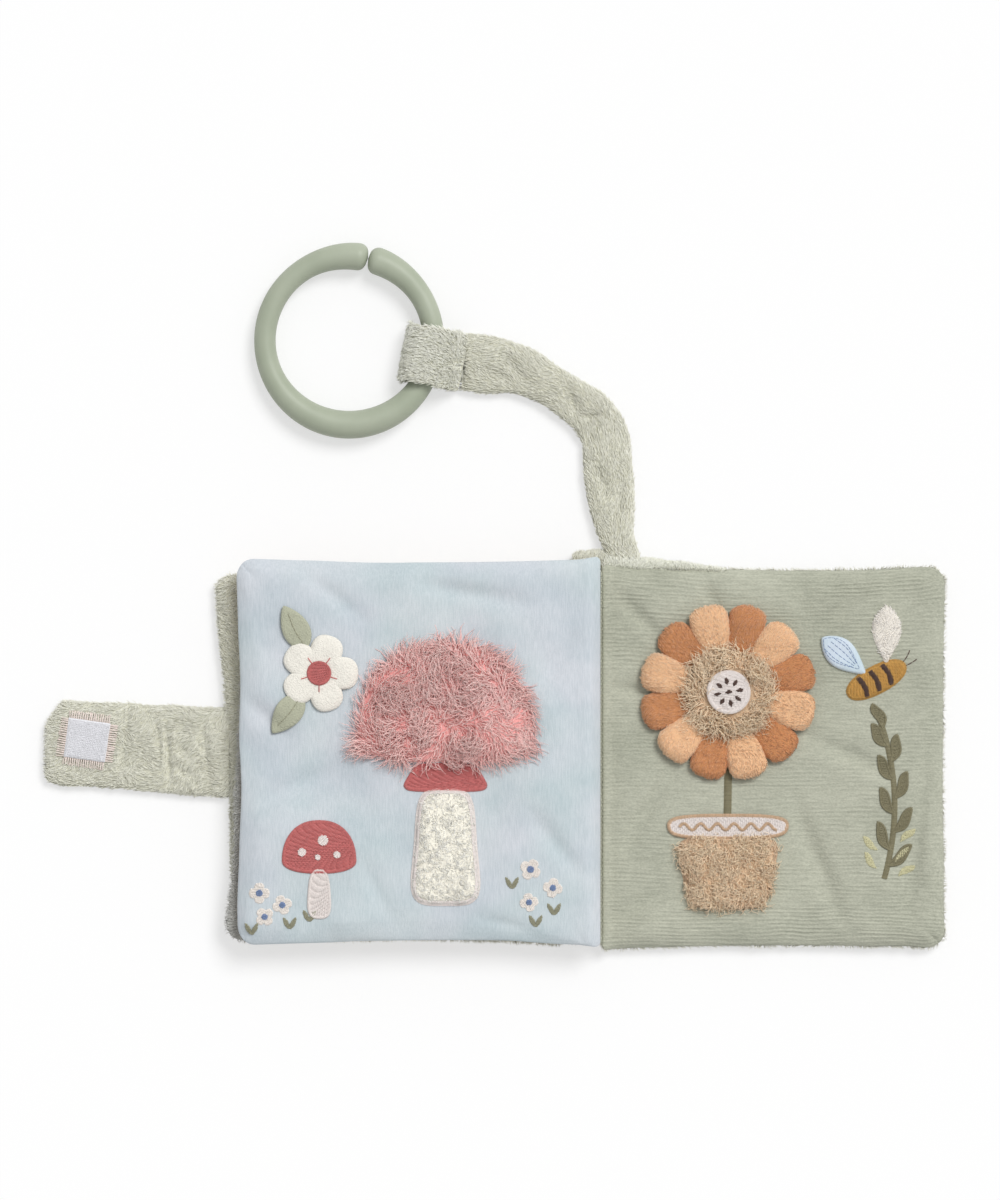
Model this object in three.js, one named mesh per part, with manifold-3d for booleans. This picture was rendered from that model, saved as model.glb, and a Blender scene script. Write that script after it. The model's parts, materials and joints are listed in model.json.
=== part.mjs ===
// Crinkle cloth book for a baby, lying open on a table at its last spread. Millimetres, +Z up.
// +X runs across the pages to the right and +Y to their top edge.
// The origin is the middle of the spine strip, on the table.
import * as THREE from "three";
import { mergeVertices } from "three/addons/utils/BufferGeometryUtils.js";
import Module from "manifold-3d";

const wasm = await Module();
wasm.setup();

// Clearances
const touchGap = 0.3; // between pieces that touch
const layGap = 0.4; // between panels that lie on each other or are sewn side by side
const overrun = 2; // how far a cutting tool passes its face

// Spine
const spineWidth = 14;
const spineThickness = 5;
const spineRoll = 3;
const spineCloth = 1;
const bindingThickness = 1.2;
const bindingFoot = 0.6; // the binding's lower edge above the table
const hingeDrop = 1; // the binding's top edge below the leaves' hinge line

// Panels
const clothThickness = 1;
const plushThickness = 1.6;
const filmThickness = 0.4;
const seamHalf = 0.7; // half the thickness of a panel's sewn edge
const panelRoll = 10; // how far in from its edge a panel reaches its full thickness
const panelCorner = 8;
const coverWidth = 132.5;
const coverHeight = 143;
const coverThickness = 7;
const frontCoverSkew = 2.4; // how far the outer edge's ends lean out and in
const leafOverhang = 6; // how much wider than the covers the leaves are cut, to reach across the spine
const leafThickness = 5;
const greyLeafWidth = coverWidth + leafOverhang;
const greyLeafTrim = 2; // how much shorter than the covers the grey leaf is
const greyLeafSkew = -2.4;
const blueLeafExtra = 6; // how much taller than the covers the blue leaf is
const blueLeafRise = 1.8; // the blue leaf's middle above the origin, along Y
const blueLeafWidth = coverWidth + leafOverhang;
const blueLeafHeight = coverHeight + blueLeafExtra;
const blueLeafThickness = 5.5;
const backCoverTrim = 0.5; // how much narrower than the front cover the back cover is
const backCoverExtra = 5; // how much taller the back cover is
const backCoverWidth = coverWidth - backCoverTrim;
const backCoverHeight = coverHeight + backCoverExtra;
const backCoverThickness = 8;
const coverDrop = -0.8; // the covers' middle, along Y
const edgePinch = 1.2; // how far a panel's sides draw in between its corners

// Closure tab
const tabWidthRoot = 31;
const tabWidthEnd = 29;
const tabThickness = 6;
const tabRootLength = 2.7;
const tabBaseLength = 25;
const tabEndLength = 37.5;
const tabRise = 9; // the tab's end above its root, along Y
const tabPlaceY = -1;
const tabEndSlant = 7; // how far the end's upper corner is drawn in
const tabRoll = 5;
const tabCorner = 3;
const hookPatchLength = 16;
const hookPatchWidth = 15;
const patchThickness = 1;
const stitchBand = 3.2; // width of the sewn border round a patch
const hookPatchInset = 4.5; // from the tab's end to the border
const patchTurn = THREE.MathUtils.degToRad(-8);
const loopPatchLength = 25;
const loopPatchWidth = 22;
const loopPatchRecess = 0.8;
const loopPatchInset = 22; // from the back cover's outer edge to the patch's middle

// Strap and ring
const anchorWidth = 11;
const anchorReach = 3.4;
const anchorInset = 2.4; // from the seam to the anchor's near side
const strapThickness = 5;
const strapFloor = 0.6; // the strap's underside above the table
const strapReachX = 61.5; // from the strap's root to its stitch line, along X
const strapReachY = 72.8; // from the strap's root to its stitch line, along Y
const strapWidth = 23.4;
const ringRadius = 32.2; // to the middle of the ring's section
const ringSection = 4.3; // radius of the ring's section
const ringSwell = 1.1; // how much thicker the ring's lower side and split ends are
const ringSplit = 0.8; // the gap in the ring
const ringSplitTurn = THREE.MathUtils.degToRad(77);
const loopTurn = THREE.MathUtils.degToRad(-11); // where on the ring the strap's loop sits
const loopWidth = 22;
const loopWall = 1.6;
const loopNose = 11; // from the ring's section to the loop's folded end
const loopTail = 11.4; // from the ring's section to the loop's stitch line
const loopSeam = 5; // thickness of the loop's two layers at the stitch line

// Blue page pieces
const feltThickness = 1.4;
const capWidth = 72;
const capTop = 41;
const capUnder = 9;
const capHeight = 6.5;
const stemWidthTop = 21;
const stemWidthFoot = 28;
const stemLength = 43;
const stemHeight = 3;
const skirtWidth = 33;
const skirtHeight = 8;
const smallCapWidth = 27;
const smallCapTop = 15;
const smallCapUnder = 4;
const smallStemWidth = 9;
const smallStemLength = 17;
const embroideryThickness = 0.9;
const flowerRadius = 14.5;
const flowerCentreRadius = 4.3;
const flowerPetalCount = 6;
const flowerLeafLength = 18;
const flowerLeafWidth = 9;

// Ribbed page pieces
const petalCount = 12;
const petalLength = 17.5;
const petalWidth = 11.6;
const petalThickness = 1.5;
const sunCentreRadius = 16.5;
const sunCentreHeight = 7;
const stalkWidth = 3.2;
const stalkLength = 12;
const potWidthTop = 40;
const potWidthFoot = 29;
const potLength = 26;
const potHeight = 4;
const potRimWidth = 45;
const potRimLength = 8.5;
const beeLength = 24;
const beeWidth = 9.5;
const beeHeight = 3.6;
const beeWingLength = 20;
const beeWingWidth = 10.7;
const wingGap = 1; // from the bee's side to a wing's sewn root
const sprigLength = 60;
const sprigStemWidth = 1.8;
const sprigLeafLength = 11;
const sprigLeafWidth = 4;
const sprigLeafCount = 9;

// Where the panels lie
const seamX = spineWidth / 2;
const bindingX = seamX - bindingThickness / 2;
const leafRootX = seamX - bindingThickness - layGap;
const greyLeafLow = coverThickness + layGap;
const blueLeafLow = greyLeafLow + leafThickness + layGap;
const hingeZ = blueLeafLow - layGap / 2;
const bluePageZ = blueLeafLow + blueLeafThickness + touchGap;
const ribbedPageZ = backCoverThickness + touchGap;

// A closed mesh from rings of points, each as many, that follow each other over the surface.
// The first and the last ring are closed by fans, and the faces are turned outwards.
function ringSolid(rings) {
  const count = rings[0].length;
  const points = rings.flat();
  const faces = [];
  rings.slice(1).forEach((_, i) => {
    for (let k = 0; k < count; k += 1) {
      const a = i * count + k;
      const b = i * count + ((k + 1) % count);
      faces.push(a, b, b + count, a, b + count, a + count);
    }
  });
  const capOver = (ring, first, flip) => {
    const middle = ring.reduce((sum, p) => sum.add(p), new THREE.Vector3()).divideScalar(count);
    points.push(middle);
    for (let k = 0; k < count; k += 1) {
      const a = first + k;
      const b = first + ((k + 1) % count);
      faces.push(...(flip ? [a, b, points.length - 1] : [b, a, points.length - 1]));
    }
  };
  capOver(rings[0], 0, false);
  capOver(rings[rings.length - 1], (rings.length - 1) * count, true);
  const volume = faces.reduce((sum, _, i) => {
    if (i % 3) return sum;
    const [a, b, c] = [points[faces[i]], points[faces[i + 1]], points[faces[i + 2]]];
    return sum + a.dot(new THREE.Vector3().crossVectors(b, c));
  }, 0);
  const geometry = new THREE.BufferGeometry();
  geometry.setAttribute("position", new THREE.Float32BufferAttribute(points.flatMap((p) => p.toArray()), 3));
  geometry.setIndex(volume < 0 ? faces.reverse() : faces);
  return geometry;
}

// Solids for cutting and joining
function toSolid(geometry) {
  const bare = geometry.index ? geometry.toNonIndexed() : geometry.clone();
  bare.deleteAttribute("normal");
  bare.deleteAttribute("uv");
  const merged = mergeVertices(bare);
  return new wasm.Manifold(
    new wasm.Mesh({
      numProp: 3,
      vertProperties: merged.attributes.position.array,
      triVerts: new Uint32Array(merged.index.array),
    }),
  );
}

function toGeometry(solid) {
  const made = solid.getMesh();
  const geometry = new THREE.BufferGeometry();
  geometry.setAttribute("position", new THREE.BufferAttribute(made.vertProperties, 3));
  geometry.setIndex(new THREE.BufferAttribute(made.triVerts, 1));
  return geometry;
}

// Materials, by the cloth or plastic that each piece is made of
function material(hex, roughness) {
  return new THREE.MeshStandardMaterial({ color: hex, roughness, metalness: 0 });
}
const sagePlush = material(0xc6c8b4, 0.95);
const ribbedSage = material(0xb2b8a5, 0.9);
const blueVelour = material(0xc8d5dc, 0.9);
const peachCotton = material(0xe6d2be, 0.9);
const greyPlush = material(0xa5a5a0, 0.95);
const whiteWadding = material(0xf4f2ee, 1);
const clearFilm = material(0xe8ecee, 0.3);
const hookWhite = material(0xd7d7dc, 0.7);
const pinkThread = material(0xdcd0c8, 0.6);
const ringPlastic = material(0xa5ac98, 0.45);
const pinkFluff = material(0xd69b9b, 1);
const creamFleece = material(0xece6d6, 1);
const coralThread = material(0xc45a5c, 0.6);
const whiteFelt = material(0xf0ece2, 0.95);
const sageFelt = material(0xb2b4a0, 0.95);
const rustVelour = material(0xc58c5f, 0.9);
const peachVelour = material(0xe8b88c, 0.9);
const tanFluff = material(0xcbb496, 1);
const paleThread = material(0xebe1dc, 0.6);
const oliveThread = material(0x827d5f, 0.6);
const ochreVelour = material(0xbe9146, 0.9);
const paleBlueCloth = material(0xc4d6e4, 0.85);

function piece(name, geometry, look, place = new THREE.Vector3(), turn = 0) {
  const mesh = new THREE.Mesh(geometry, look);
  mesh.name = name;
  mesh.position.copy(place);
  mesh.rotation.z = turn;
  return mesh;
}

// Half a pillow's thickness at a distance in from its sewn edge
function pillowHalf(inset, half, roll) {
  const far = Math.min(inset / roll, 1);
  return seamHalf + (half - seamHalf) * Math.sqrt(1 - (1 - far) ** 2);
}

// One ring of a panel: its outline drawn in by inset, at height z. The outline is a rectangle with round
// corners, whose outer edge leans by the skew and whose free sides draw in between the corners.
const cornerSteps = 3;
const sideStepShares = [0.33, 0.67];
const leastCornerShare = 0.1;
function panelRing(panel, inset, z) {
  const halfX = panel.width / 2 - inset;
  const halfY = panel.height / 2 - inset;
  const corner = Math.max(panel.corner - inset, panel.corner * leastCornerShare);
  const flat = [];
  for (let q = 0; q < 4; q += 1) {
    const sideX = q === 0 || q === 3 ? 1 : -1;
    const sideY = q < 2 ? 1 : -1;
    for (let k = 0; k <= cornerSteps; k += 1) {
      const turn = ((q + k / cornerSteps) * Math.PI) / 2;
      const x = sideX * (halfX - corner) + corner * Math.cos(turn);
      const y = sideY * (halfY - corner) + corner * Math.sin(turn);
      flat.push(new THREE.Vector2(x, y));
    }
    const from = flat[flat.length - 1];
    const along = new THREE.Vector2();
    if (q % 2) along.y = -2 * sideY * (halfY - corner);
    else along.x = -2 * sideX * (halfX - corner);
    sideStepShares.forEach((share) => flat.push(from.clone().addScaledVector(along, share)));
  }
  return flat.map(({ x, y }) => {
    const u = x / (panel.width / 2);
    const v = y / (panel.height / 2);
    const outer = (1 + panel.out * u) / 2;
    const drawnX = panel.out * (panel.skew * v - edgePinch * (1 - v * v)) * outer;
    const drawnY = -edgePinch * v * (1 - u * u);
    return new THREE.Vector3(panel.x + x + drawnX, panel.y + y + drawnY, z);
  });
}

// A panel's two shells, wadding and film. Each shell is one cloth, sewn to the other along the edge.
const shellInsetShares = [1, 0.65, 0.35, 0.12, 0];
function shell(panel, side, cloth) {
  const middle = panel.low + panel.thickness / 2;
  const half = panel.thickness / 2;
  const outside = shellInsetShares.map((share) =>
    panelRing(panel, share * panel.roll, middle + side * pillowHalf(share * panel.roll, half, panel.roll)),
  );
  const inside = [...shellInsetShares].reverse().map((share) => {
    const inset = share * panel.roll;
    const reach = Math.max(pillowHalf(inset, half, panel.roll) - cloth, touchGap / 2);
    return panelRing(panel, inset, middle + side * reach);
  });
  return ringSolid([...outside, ...inside]);
}

function slab(panel, low, high) {
  return ringSolid([panelRing(panel, panel.roll, low), panelRing(panel, panel.roll, high)]);
}

function filledPanel(name, panel, looks, cloths) {
  const floor = panel.low + cloths.under + touchGap;
  const roof = panel.low + panel.thickness - cloths.over - touchGap;
  const pieces = [
    piece(`${name}_${looks.overName}`, shell(panel, 1, cloths.over), looks.over),
    piece(`${name}_${looks.underName}`, shell(panel, -1, cloths.under), looks.under),
  ];
  if (panel.film) {
    pieces.push(piece(`${name}_crinkle_film`, slab(panel, roof - filmThickness, roof), clearFilm));
    pieces.push(piece(`${name}_wadding`, slab(panel, floor, roof - filmThickness - touchGap), whiteWadding));
  }
  return pieces;
}

// A puffed or flat piece over a star-shaped outline: an edge that rises from its foot, then a crown.
// The edge takes a share of the height.
const fluffEdgeShare = 0.25;
const fleeceEdgeShare = 0.5;
const velourEdgeShare = 0.4;
const bodyEdgeShare = 0.3;
const crownShares = [1, 0.9, 0.72, 0.42];
function puff(outline, low, height, edgeShare) {
  const ringAt = (share, z) => outline.map((p) => new THREE.Vector3(p.x * share, p.y * share, z));
  const edge = low + height * edgeShare;
  const crown = crownShares.map((share) =>
    ringAt(share, edge + (low + height - edge) * Math.sqrt(1 - share * share)),
  );
  return ringSolid([ringAt(1, low), ...crown]);
}

function flatPiece(outline, low, height) {
  const points = (z) => outline.map((p) => new THREE.Vector3(p.x, p.y, z));
  return ringSolid([points(low), points(low + height)]);
}

// Outlines round their own middle
const outlineSteps = 28;
function roundOutline(reach) {
  return Array.from({ length: outlineSteps }, (_, k) => {
    const turn = (k / outlineSteps) * 2 * Math.PI;
    const [x, y] = reach(turn);
    return new THREE.Vector2(x, y);
  });
}

function domeOutline(width, top, under) {
  return roundOutline((turn) => [
    (width / 2) * Math.cos(turn),
    (Math.sin(turn) > 0 ? top : under) * Math.sin(turn),
  ]);
}

function discOutline(radius) {
  return domeOutline(radius * 2, radius, radius);
}

// A bar whose two ends have their own widths, with softened corners
const softCornerShare = 0.12;
function barOutline(lengthY, widthTop, widthFoot) {
  const soft = Math.min(widthTop, widthFoot, lengthY) * softCornerShare;
  const corners = [
    [widthTop / 2, lengthY / 2],
    [-widthTop / 2, lengthY / 2],
    [-widthFoot / 2, -lengthY / 2],
    [widthFoot / 2, -lengthY / 2],
  ];
  return corners.flatMap(([x, y], i) => {
    const inX = new THREE.Vector2(x - Math.sign(x) * soft, y);
    const inY = new THREE.Vector2(x, y - Math.sign(y) * soft);
    return i % 2 ? [inX, inY] : [inY, inX];
  });
}

// A petal or leaf along +X from its root, as shares of its length and half width
const petalShares = [
  [0, 0.62],
  [0.3, 0.92],
  [0.55, 1],
  [0.78, 0.76],
  [0.93, 0.38],
];
const leafShares = [
  [0, 0.12],
  [0.2, 0.72],
  [0.45, 1],
  [0.72, 0.72],
  [0.9, 0.3],
];
function bladeOutline(length, width, shares) {
  const lower = shares.map(([along, across]) => [along * length, (-across * width) / 2]);
  const upper = shares.map(([along, across]) => [along * length, (across * width) / 2]).reverse();
  return [...lower, [length, 0], ...upper].map(([x, y]) => new THREE.Vector2(x - length / 2, y));
}

function extruded(outline, depth, holes = []) {
  const shape = new THREE.Shape(outline);
  shape.holes = holes.map((hole) => new THREE.Path(hole));
  return new THREE.ExtrudeGeometry(shape, { depth, bevelEnabled: false, steps: 1 });
}

function inBetween(from, to, share) {
  return from + (to - from) * share;
}

// Front cover and spine
const frontCover = {
  x: -seamX - layGap - coverWidth / 2,
  y: coverDrop,
  width: coverWidth,
  height: coverHeight,
  corner: panelCorner,
  skew: frontCoverSkew,
  out: -1,
  low: 0,
  thickness: coverThickness,
  roll: panelRoll,
  film: true,
};

function frontCoverPieces() {
  const looks = { overName: "inner", over: sagePlush, underName: "outer", under: sagePlush };
  return filledPanel("front_cover", frontCover, looks, { over: clothThickness, under: plushThickness });
}

const spineStrip = {
  x: (-seamX + bindingX - bindingThickness / 2 - touchGap) / 2,
  y: coverDrop,
  width: bindingX - bindingThickness / 2 - touchGap + seamX,
  height: coverHeight,
  corner: spineRoll,
  skew: 0,
  out: -1,
  low: 0,
  thickness: spineThickness,
  roll: spineRoll,
  film: false,
};

function spinePieces() {
  const looks = { overName: "inner", over: sagePlush, underName: "outer", under: sagePlush };
  const strip = filledPanel("spine", spineStrip, looks, { over: spineCloth, under: spineCloth });
  const height = hingeZ - hingeDrop - bindingFoot;
  const binding = new THREE.BoxGeometry(bindingThickness, coverHeight, height);
  const place = new THREE.Vector3(bindingX, coverDrop, bindingFoot + height / 2);
  return [...strip, piece("seam_binding", binding, sagePlush, place)];
}

// Leaves
const greyLeaf = {
  x: leafRootX - greyLeafWidth / 2,
  y: coverDrop,
  width: greyLeafWidth,
  height: coverHeight - greyLeafTrim,
  corner: panelCorner,
  skew: greyLeafSkew,
  out: -1,
  low: greyLeafLow,
  thickness: leafThickness,
  roll: panelRoll,
  film: true,
};

function greyLeafPieces() {
  const looks = { overName: "front", over: greyPlush, underName: "back", under: greyPlush };
  return filledPanel("grey_leaf", greyLeaf, looks, { over: clothThickness, under: clothThickness });
}

const blueLeaf = {
  x: leafRootX - blueLeafWidth / 2,
  y: blueLeafRise,
  width: blueLeafWidth,
  height: blueLeafHeight,
  corner: panelCorner,
  skew: 0,
  out: -1,
  low: blueLeafLow,
  thickness: blueLeafThickness,
  roll: panelRoll,
  film: true,
};

function blueLeafPieces() {
  const looks = { overName: "front", over: blueVelour, underName: "back", under: peachCotton };
  return filledPanel("blue_leaf", blueLeaf, looks, { over: clothThickness, under: clothThickness });
}

// Blue page: a large toadstool, a small one and a felt flower
const capPlaceShares = [0.42, 0.02]; // of the leaf's width from its root, and of its height from its middle
const smallRiseShare = -0.28; // of the leaf's height from its middle
const flowerRiseShare = 0.2;
const besideCap = 12; // from the cap's side to the middles of the pieces beside it
function onBluePage(x, riseShare) {
  return new THREE.Vector3(x, blueLeafRise + blueLeafHeight * riseShare, bluePageZ);
}
const capX = leafRootX - blueLeafWidth * capPlaceShares[0];
const besideX = capX - capWidth / 2 - besideCap;

function toadstoolPieces() {
  const place = onBluePage(capX, capPlaceShares[1]);
  const skirtPlace = place.clone();
  skirtPlace.y -= capUnder + layGap + skirtHeight / 2;
  const stemPlace = skirtPlace.clone();
  stemPlace.y -= skirtHeight / 2 + layGap + stemLength / 2;
  return [
    piece(
      "toadstool_cap",
      puff(domeOutline(capWidth, capTop, capUnder), 0, capHeight, fluffEdgeShare),
      pinkFluff,
      place,
    ),
    piece(
      "toadstool_skirt",
      flatPiece(barOutline(skirtHeight, stemWidthTop, skirtWidth), 0, feltThickness),
      coralThread,
      skirtPlace,
    ),
    piece(
      "toadstool_stem",
      puff(barOutline(stemLength, stemWidthTop, stemWidthFoot), 0, stemHeight, fleeceEdgeShare),
      creamFleece,
      stemPlace,
    ),
  ];
}

function smallToadstoolPieces() {
  const place = onBluePage(besideX, smallRiseShare);
  const stemPlace = place.clone();
  stemPlace.y -= smallCapUnder + layGap + smallStemLength / 2;
  return [
    piece(
      "small_toadstool_cap",
      flatPiece(domeOutline(smallCapWidth, smallCapTop, smallCapUnder), 0, embroideryThickness),
      coralThread,
      place,
    ),
    piece(
      "small_toadstool_stem",
      flatPiece(barOutline(smallStemLength, smallStemWidth, smallStemWidth), 0, embroideryThickness),
      creamFleece,
      stemPlace,
    ),
  ];
}

const petalDipShare = 0.16;
const flowerLeafTurns = [THREE.MathUtils.degToRad(118), THREE.MathUtils.degToRad(-128)];
function feltFlowerPieces() {
  const place = onBluePage(besideX, flowerRiseShare);
  const lobed = roundOutline((turn) => {
    const dip = 1 - Math.abs(Math.cos((turn * flowerPetalCount) / 2));
    const reach = flowerRadius * (1 - petalDipShare * dip);
    return [reach * Math.cos(turn), reach * Math.sin(turn)];
  });
  const onFelt = place.clone();
  onFelt.z += feltThickness + touchGap;
  const leaves = flowerLeafTurns.map((turn, i) => {
    const reach = flowerRadius + layGap + flowerLeafLength / 2;
    const spot = place.clone().add(new THREE.Vector3(reach * Math.cos(turn), reach * Math.sin(turn), 0));
    const blade = flatPiece(bladeOutline(flowerLeafLength, flowerLeafWidth, leafShares), 0, feltThickness);
    return piece(`felt_leaf_${i + 1}`, blade, sageFelt, spot, turn);
  });
  return [
    piece("felt_flower", flatPiece(lobed, 0, feltThickness), whiteFelt, place),
    piece(
      "felt_flower_centre",
      puff(discOutline(flowerCentreRadius), 0, feltThickness, velourEdgeShare),
      coralThread,
      onFelt,
    ),
    ...leaves,
  ];
}

// Back cover
const backCover = {
  x: seamX + layGap + backCoverWidth / 2,
  y: coverDrop,
  width: backCoverWidth,
  height: backCoverHeight,
  corner: panelCorner,
  skew: 0,
  out: 1,
  low: 0,
  thickness: backCoverThickness,
  roll: panelRoll,
  film: true,
};

const loopPatchPlace = new THREE.Vector3(
  backCover.x + backCoverWidth / 2 - loopPatchInset,
  tabPlaceY + tabRise,
  0,
);

function backCoverPieces() {
  const looks = { overName: "inner", over: ribbedSage, underName: "outer", under: sagePlush };
  const panels = filledPanel("back_cover", backCover, looks, { over: clothThickness, under: plushThickness });
  const outer = panels.find((mesh) => mesh.name === "back_cover_outer");
  const cutter = new THREE.BoxGeometry(
    loopPatchLength + 2 * touchGap,
    loopPatchWidth + 2 * touchGap,
    loopPatchRecess + overrun,
  );
  cutter.translate(loopPatchPlace.x, loopPatchPlace.y, (loopPatchRecess - overrun) / 2);
  outer.geometry = toGeometry(toSolid(outer.geometry).subtract(toSolid(cutter)));
  const depth = loopPatchRecess - touchGap;
  const patch = new THREE.BoxGeometry(loopPatchLength, loopPatchWidth, depth);
  const place = loopPatchPlace.clone();
  place.z = depth / 2;
  return [...panels, piece("loop_patch", patch, hookWhite, place)];
}

// Ribbed page: a sunflower in its pot, a bee and a sprig
const sunPlaceShares = [0.36, 0.17]; // of the page's width from the seam, and of its height from its middle
const beePlaceShares = [0.79, 0.2];
const sprigPlaceShares = [0.8, -0.11];
function onRibbedPage(shares) {
  const x = backCover.x - backCoverWidth / 2 + backCoverWidth * shares[0];
  const y = coverDrop + backCoverHeight * shares[1];
  return new THREE.Vector3(x, y, ribbedPageZ);
}

function sunflowerPieces() {
  const place = onRibbedPage(sunPlaceShares);
  const head = new THREE.Group();
  head.position.copy(place);
  head.add(
    piece(
      "sunflower_centre",
      puff(discOutline(sunCentreRadius), 0, sunCentreHeight, fluffEdgeShare),
      tanFluff,
    ),
  );
  const petal = flatPiece(bladeOutline(petalLength, petalWidth, petalShares), 0, petalThickness);
  for (let k = 0; k < petalCount; k += 1) {
    const turn = ((k + 0.5) / petalCount) * 2 * Math.PI;
    const reach = sunCentreRadius + layGap + petalLength / 2;
    const spot = new THREE.Vector3(reach * Math.cos(turn), reach * Math.sin(turn), 0);
    head.add(piece(`petal_${k + 1}`, petal, k % 2 ? peachVelour : rustVelour, spot, turn));
  }
  return head;
}

function potPieces() {
  const sun = onRibbedPage(sunPlaceShares);
  const stalkPlace = sun.clone();
  stalkPlace.y -= sunCentreRadius + petalLength + 2 * layGap + stalkLength / 2;
  const rimPlace = stalkPlace.clone();
  rimPlace.y -= stalkLength / 2 + layGap + potRimLength / 2;
  const potPlace = rimPlace.clone();
  potPlace.y -= potRimLength / 2 + layGap + potLength / 2;
  return [
    piece(
      "sunflower_stalk",
      flatPiece(barOutline(stalkLength, stalkWidth, stalkWidth), 0, embroideryThickness),
      oliveThread,
      stalkPlace,
    ),
    piece(
      "pot_rim",
      flatPiece(barOutline(potRimLength, potRimWidth, potRimWidth), 0, feltThickness),
      paleThread,
      rimPlace,
    ),
    piece(
      "pot",
      puff(barOutline(potLength, potWidthTop, potWidthFoot), 0, potHeight, velourEdgeShare),
      tanFluff,
      potPlace,
    ),
  ];
}

// The bee's wings are loose flaps, each sewn to the page by its root beside the body
const beeTurn = THREE.MathUtils.degToRad(28);
const wingTurns = [THREE.MathUtils.degToRad(112), THREE.MathUtils.degToRad(62)];
const wingRootShares = [-0.14, 0.3]; // of the bee's length, from its middle
const wingNames = ["bee_wing_rear", "bee_wing_front"];
const wingCloths = [paleBlueCloth, whiteFelt];
const wingShares = [
  [0, 0.3],
  [0.25, 0.7],
  [0.55, 1],
  [0.8, 0.86],
  [0.95, 0.46],
];
function beePieces() {
  const bee = new THREE.Group();
  bee.position.copy(onRibbedPage(beePlaceShares));
  bee.rotation.z = beeTurn;
  const body = domeOutline(beeLength, beeWidth / 2, beeWidth / 2);
  bee.add(piece("bee_body", puff(body, 0, beeHeight, bodyEdgeShare), ochreVelour));
  wingNames.forEach((name, i) => {
    const root = new THREE.Vector3(wingRootShares[i] * beeLength, beeWidth / 2 + wingGap, 0);
    const turn = wingTurns[i];
    const along = new THREE.Vector3(Math.cos(turn), Math.sin(turn), 0).multiplyScalar(beeWingLength / 2);
    const blade = flatPiece(bladeOutline(beeWingLength, beeWingWidth, wingShares), 0, feltThickness);
    bee.add(piece(name, blade, wingCloths[i], root.add(along), turn));
  });
  return bee;
}

// An embroidered sprig: a stem with leaves on both sides, fused to one flat piece
const sprigBend = THREE.MathUtils.degToRad(35);
const sprigLeafTurn = THREE.MathUtils.degToRad(42);
const sprigBaseTurn = THREE.MathUtils.degToRad(74);
function sprigPieces() {
  const stemTurn = (share) => sprigBaseTurn + sprigBend * share;
  const step = sprigLength / sprigLeafCount;
  const spot = new THREE.Vector2();
  const spine = [spot.clone()];
  let whole = null;
  for (let k = 0; k < sprigLeafCount; k += 1) {
    const turn = stemTurn(k / sprigLeafCount);
    const side = k % 2 ? 1 : -1;
    const bar = new THREE.BoxGeometry(step + sprigStemWidth, sprigStemWidth, embroideryThickness);
    bar.translate(step / 2, 0, embroideryThickness / 2);
    bar.rotateZ(turn);
    bar.translate(spot.x, spot.y, 0);
    const leaf = flatPiece(bladeOutline(sprigLeafLength, sprigLeafWidth, leafShares), 0, embroideryThickness);
    leaf.translate(sprigLeafLength / 2, 0, 0);
    leaf.rotateZ(turn + side * sprigLeafTurn);
    leaf.translate(spot.x, spot.y, 0);
    const added = toSolid(bar).add(toSolid(leaf));
    whole = whole ? whole.add(added) : added;
    spot.add(new THREE.Vector2(Math.cos(turn), Math.sin(turn)).multiplyScalar(step));
    spine.push(spot.clone());
  }
  const place = onRibbedPage(sprigPlaceShares);
  place.y -= spine[spine.length - 1].y / 2;
  return [piece("sprig", toGeometry(whole), oliveThread, place)];
}

// Closure tab, in three stretches that leave the front cover's outer edge. It folds up beside the stack, then
// over it, so that its hook patch meets the loop patch on the back cover.
function coverEdgeX(y) {
  const v = (y - frontCover.y) / (frontCover.height / 2);
  return frontCover.x - coverWidth / 2 + edgePinch * (1 - v * v) - frontCoverSkew * v;
}
const tabRootX = coverEdgeX(tabPlaceY + tabWidthRoot / 2) - touchGap;
const tabLength = tabRootLength + tabBaseLength + tabEndLength + 2 * layGap;
function tabEdgeY(x, side) {
  const share = (tabRootX - x) / tabLength;
  const middle = tabPlaceY + tabRise * share;
  return middle + (side * inBetween(tabWidthRoot, tabWidthEnd, share)) / 2;
}

function tabRing(stretch, inset, z) {
  const { right, left, slant } = stretch;
  const draw = Math.min(inset, stretch.most);
  const cut = tabCorner + slant;
  const top = (x) => tabEdgeY(x, 1) - draw;
  const foot = (x) => tabEdgeY(x, -1) + draw;
  const [x0, x1] = [right - draw, left + draw];
  const halfway = (x0 + x1) / 2;
  return [
    [x0, foot(x0)],
    [x0, top(x0)],
    [halfway, top(halfway)],
    [x1 + Math.min(cut, stretch.most), top(x1)],
    [x1, top(x1) - cut],
    [x1, foot(x1) + tabCorner],
    [x1 + Math.min(tabCorner, stretch.most), foot(x1)],
    [halfway, foot(halfway)],
  ].map(([x, y]) => new THREE.Vector3(x, y, z));
}

const tabShellShares = [1, 0.5, 0.15, 0];
function tabShell(stretch, side) {
  const half = tabThickness / 2;
  const roll = Math.min(tabRoll, stretch.most);
  const insets = tabShellShares.map((share) => share * roll);
  const outside = insets.map((inset) => tabRing(stretch, inset, half + side * pillowHalf(inset, half, roll)));
  const rim = tabRing(stretch, 0, half + (side * touchGap) / 2);
  const inner = tabRing(stretch, roll, half + (side * touchGap) / 2);
  return ringSolid([...outside, rim, inner]);
}

const mostInsetShare = 0.4; // of a stretch's length, the furthest its rings draw in
const tabFoldX = tabRootX - tabRootLength - layGap / 2;
const tabWrapX = tabFoldX - tabBaseLength - layGap;
function tabStretch(right, left, slant) {
  return { right, left, slant, most: (right - left) * mostInsetShare };
}

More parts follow.
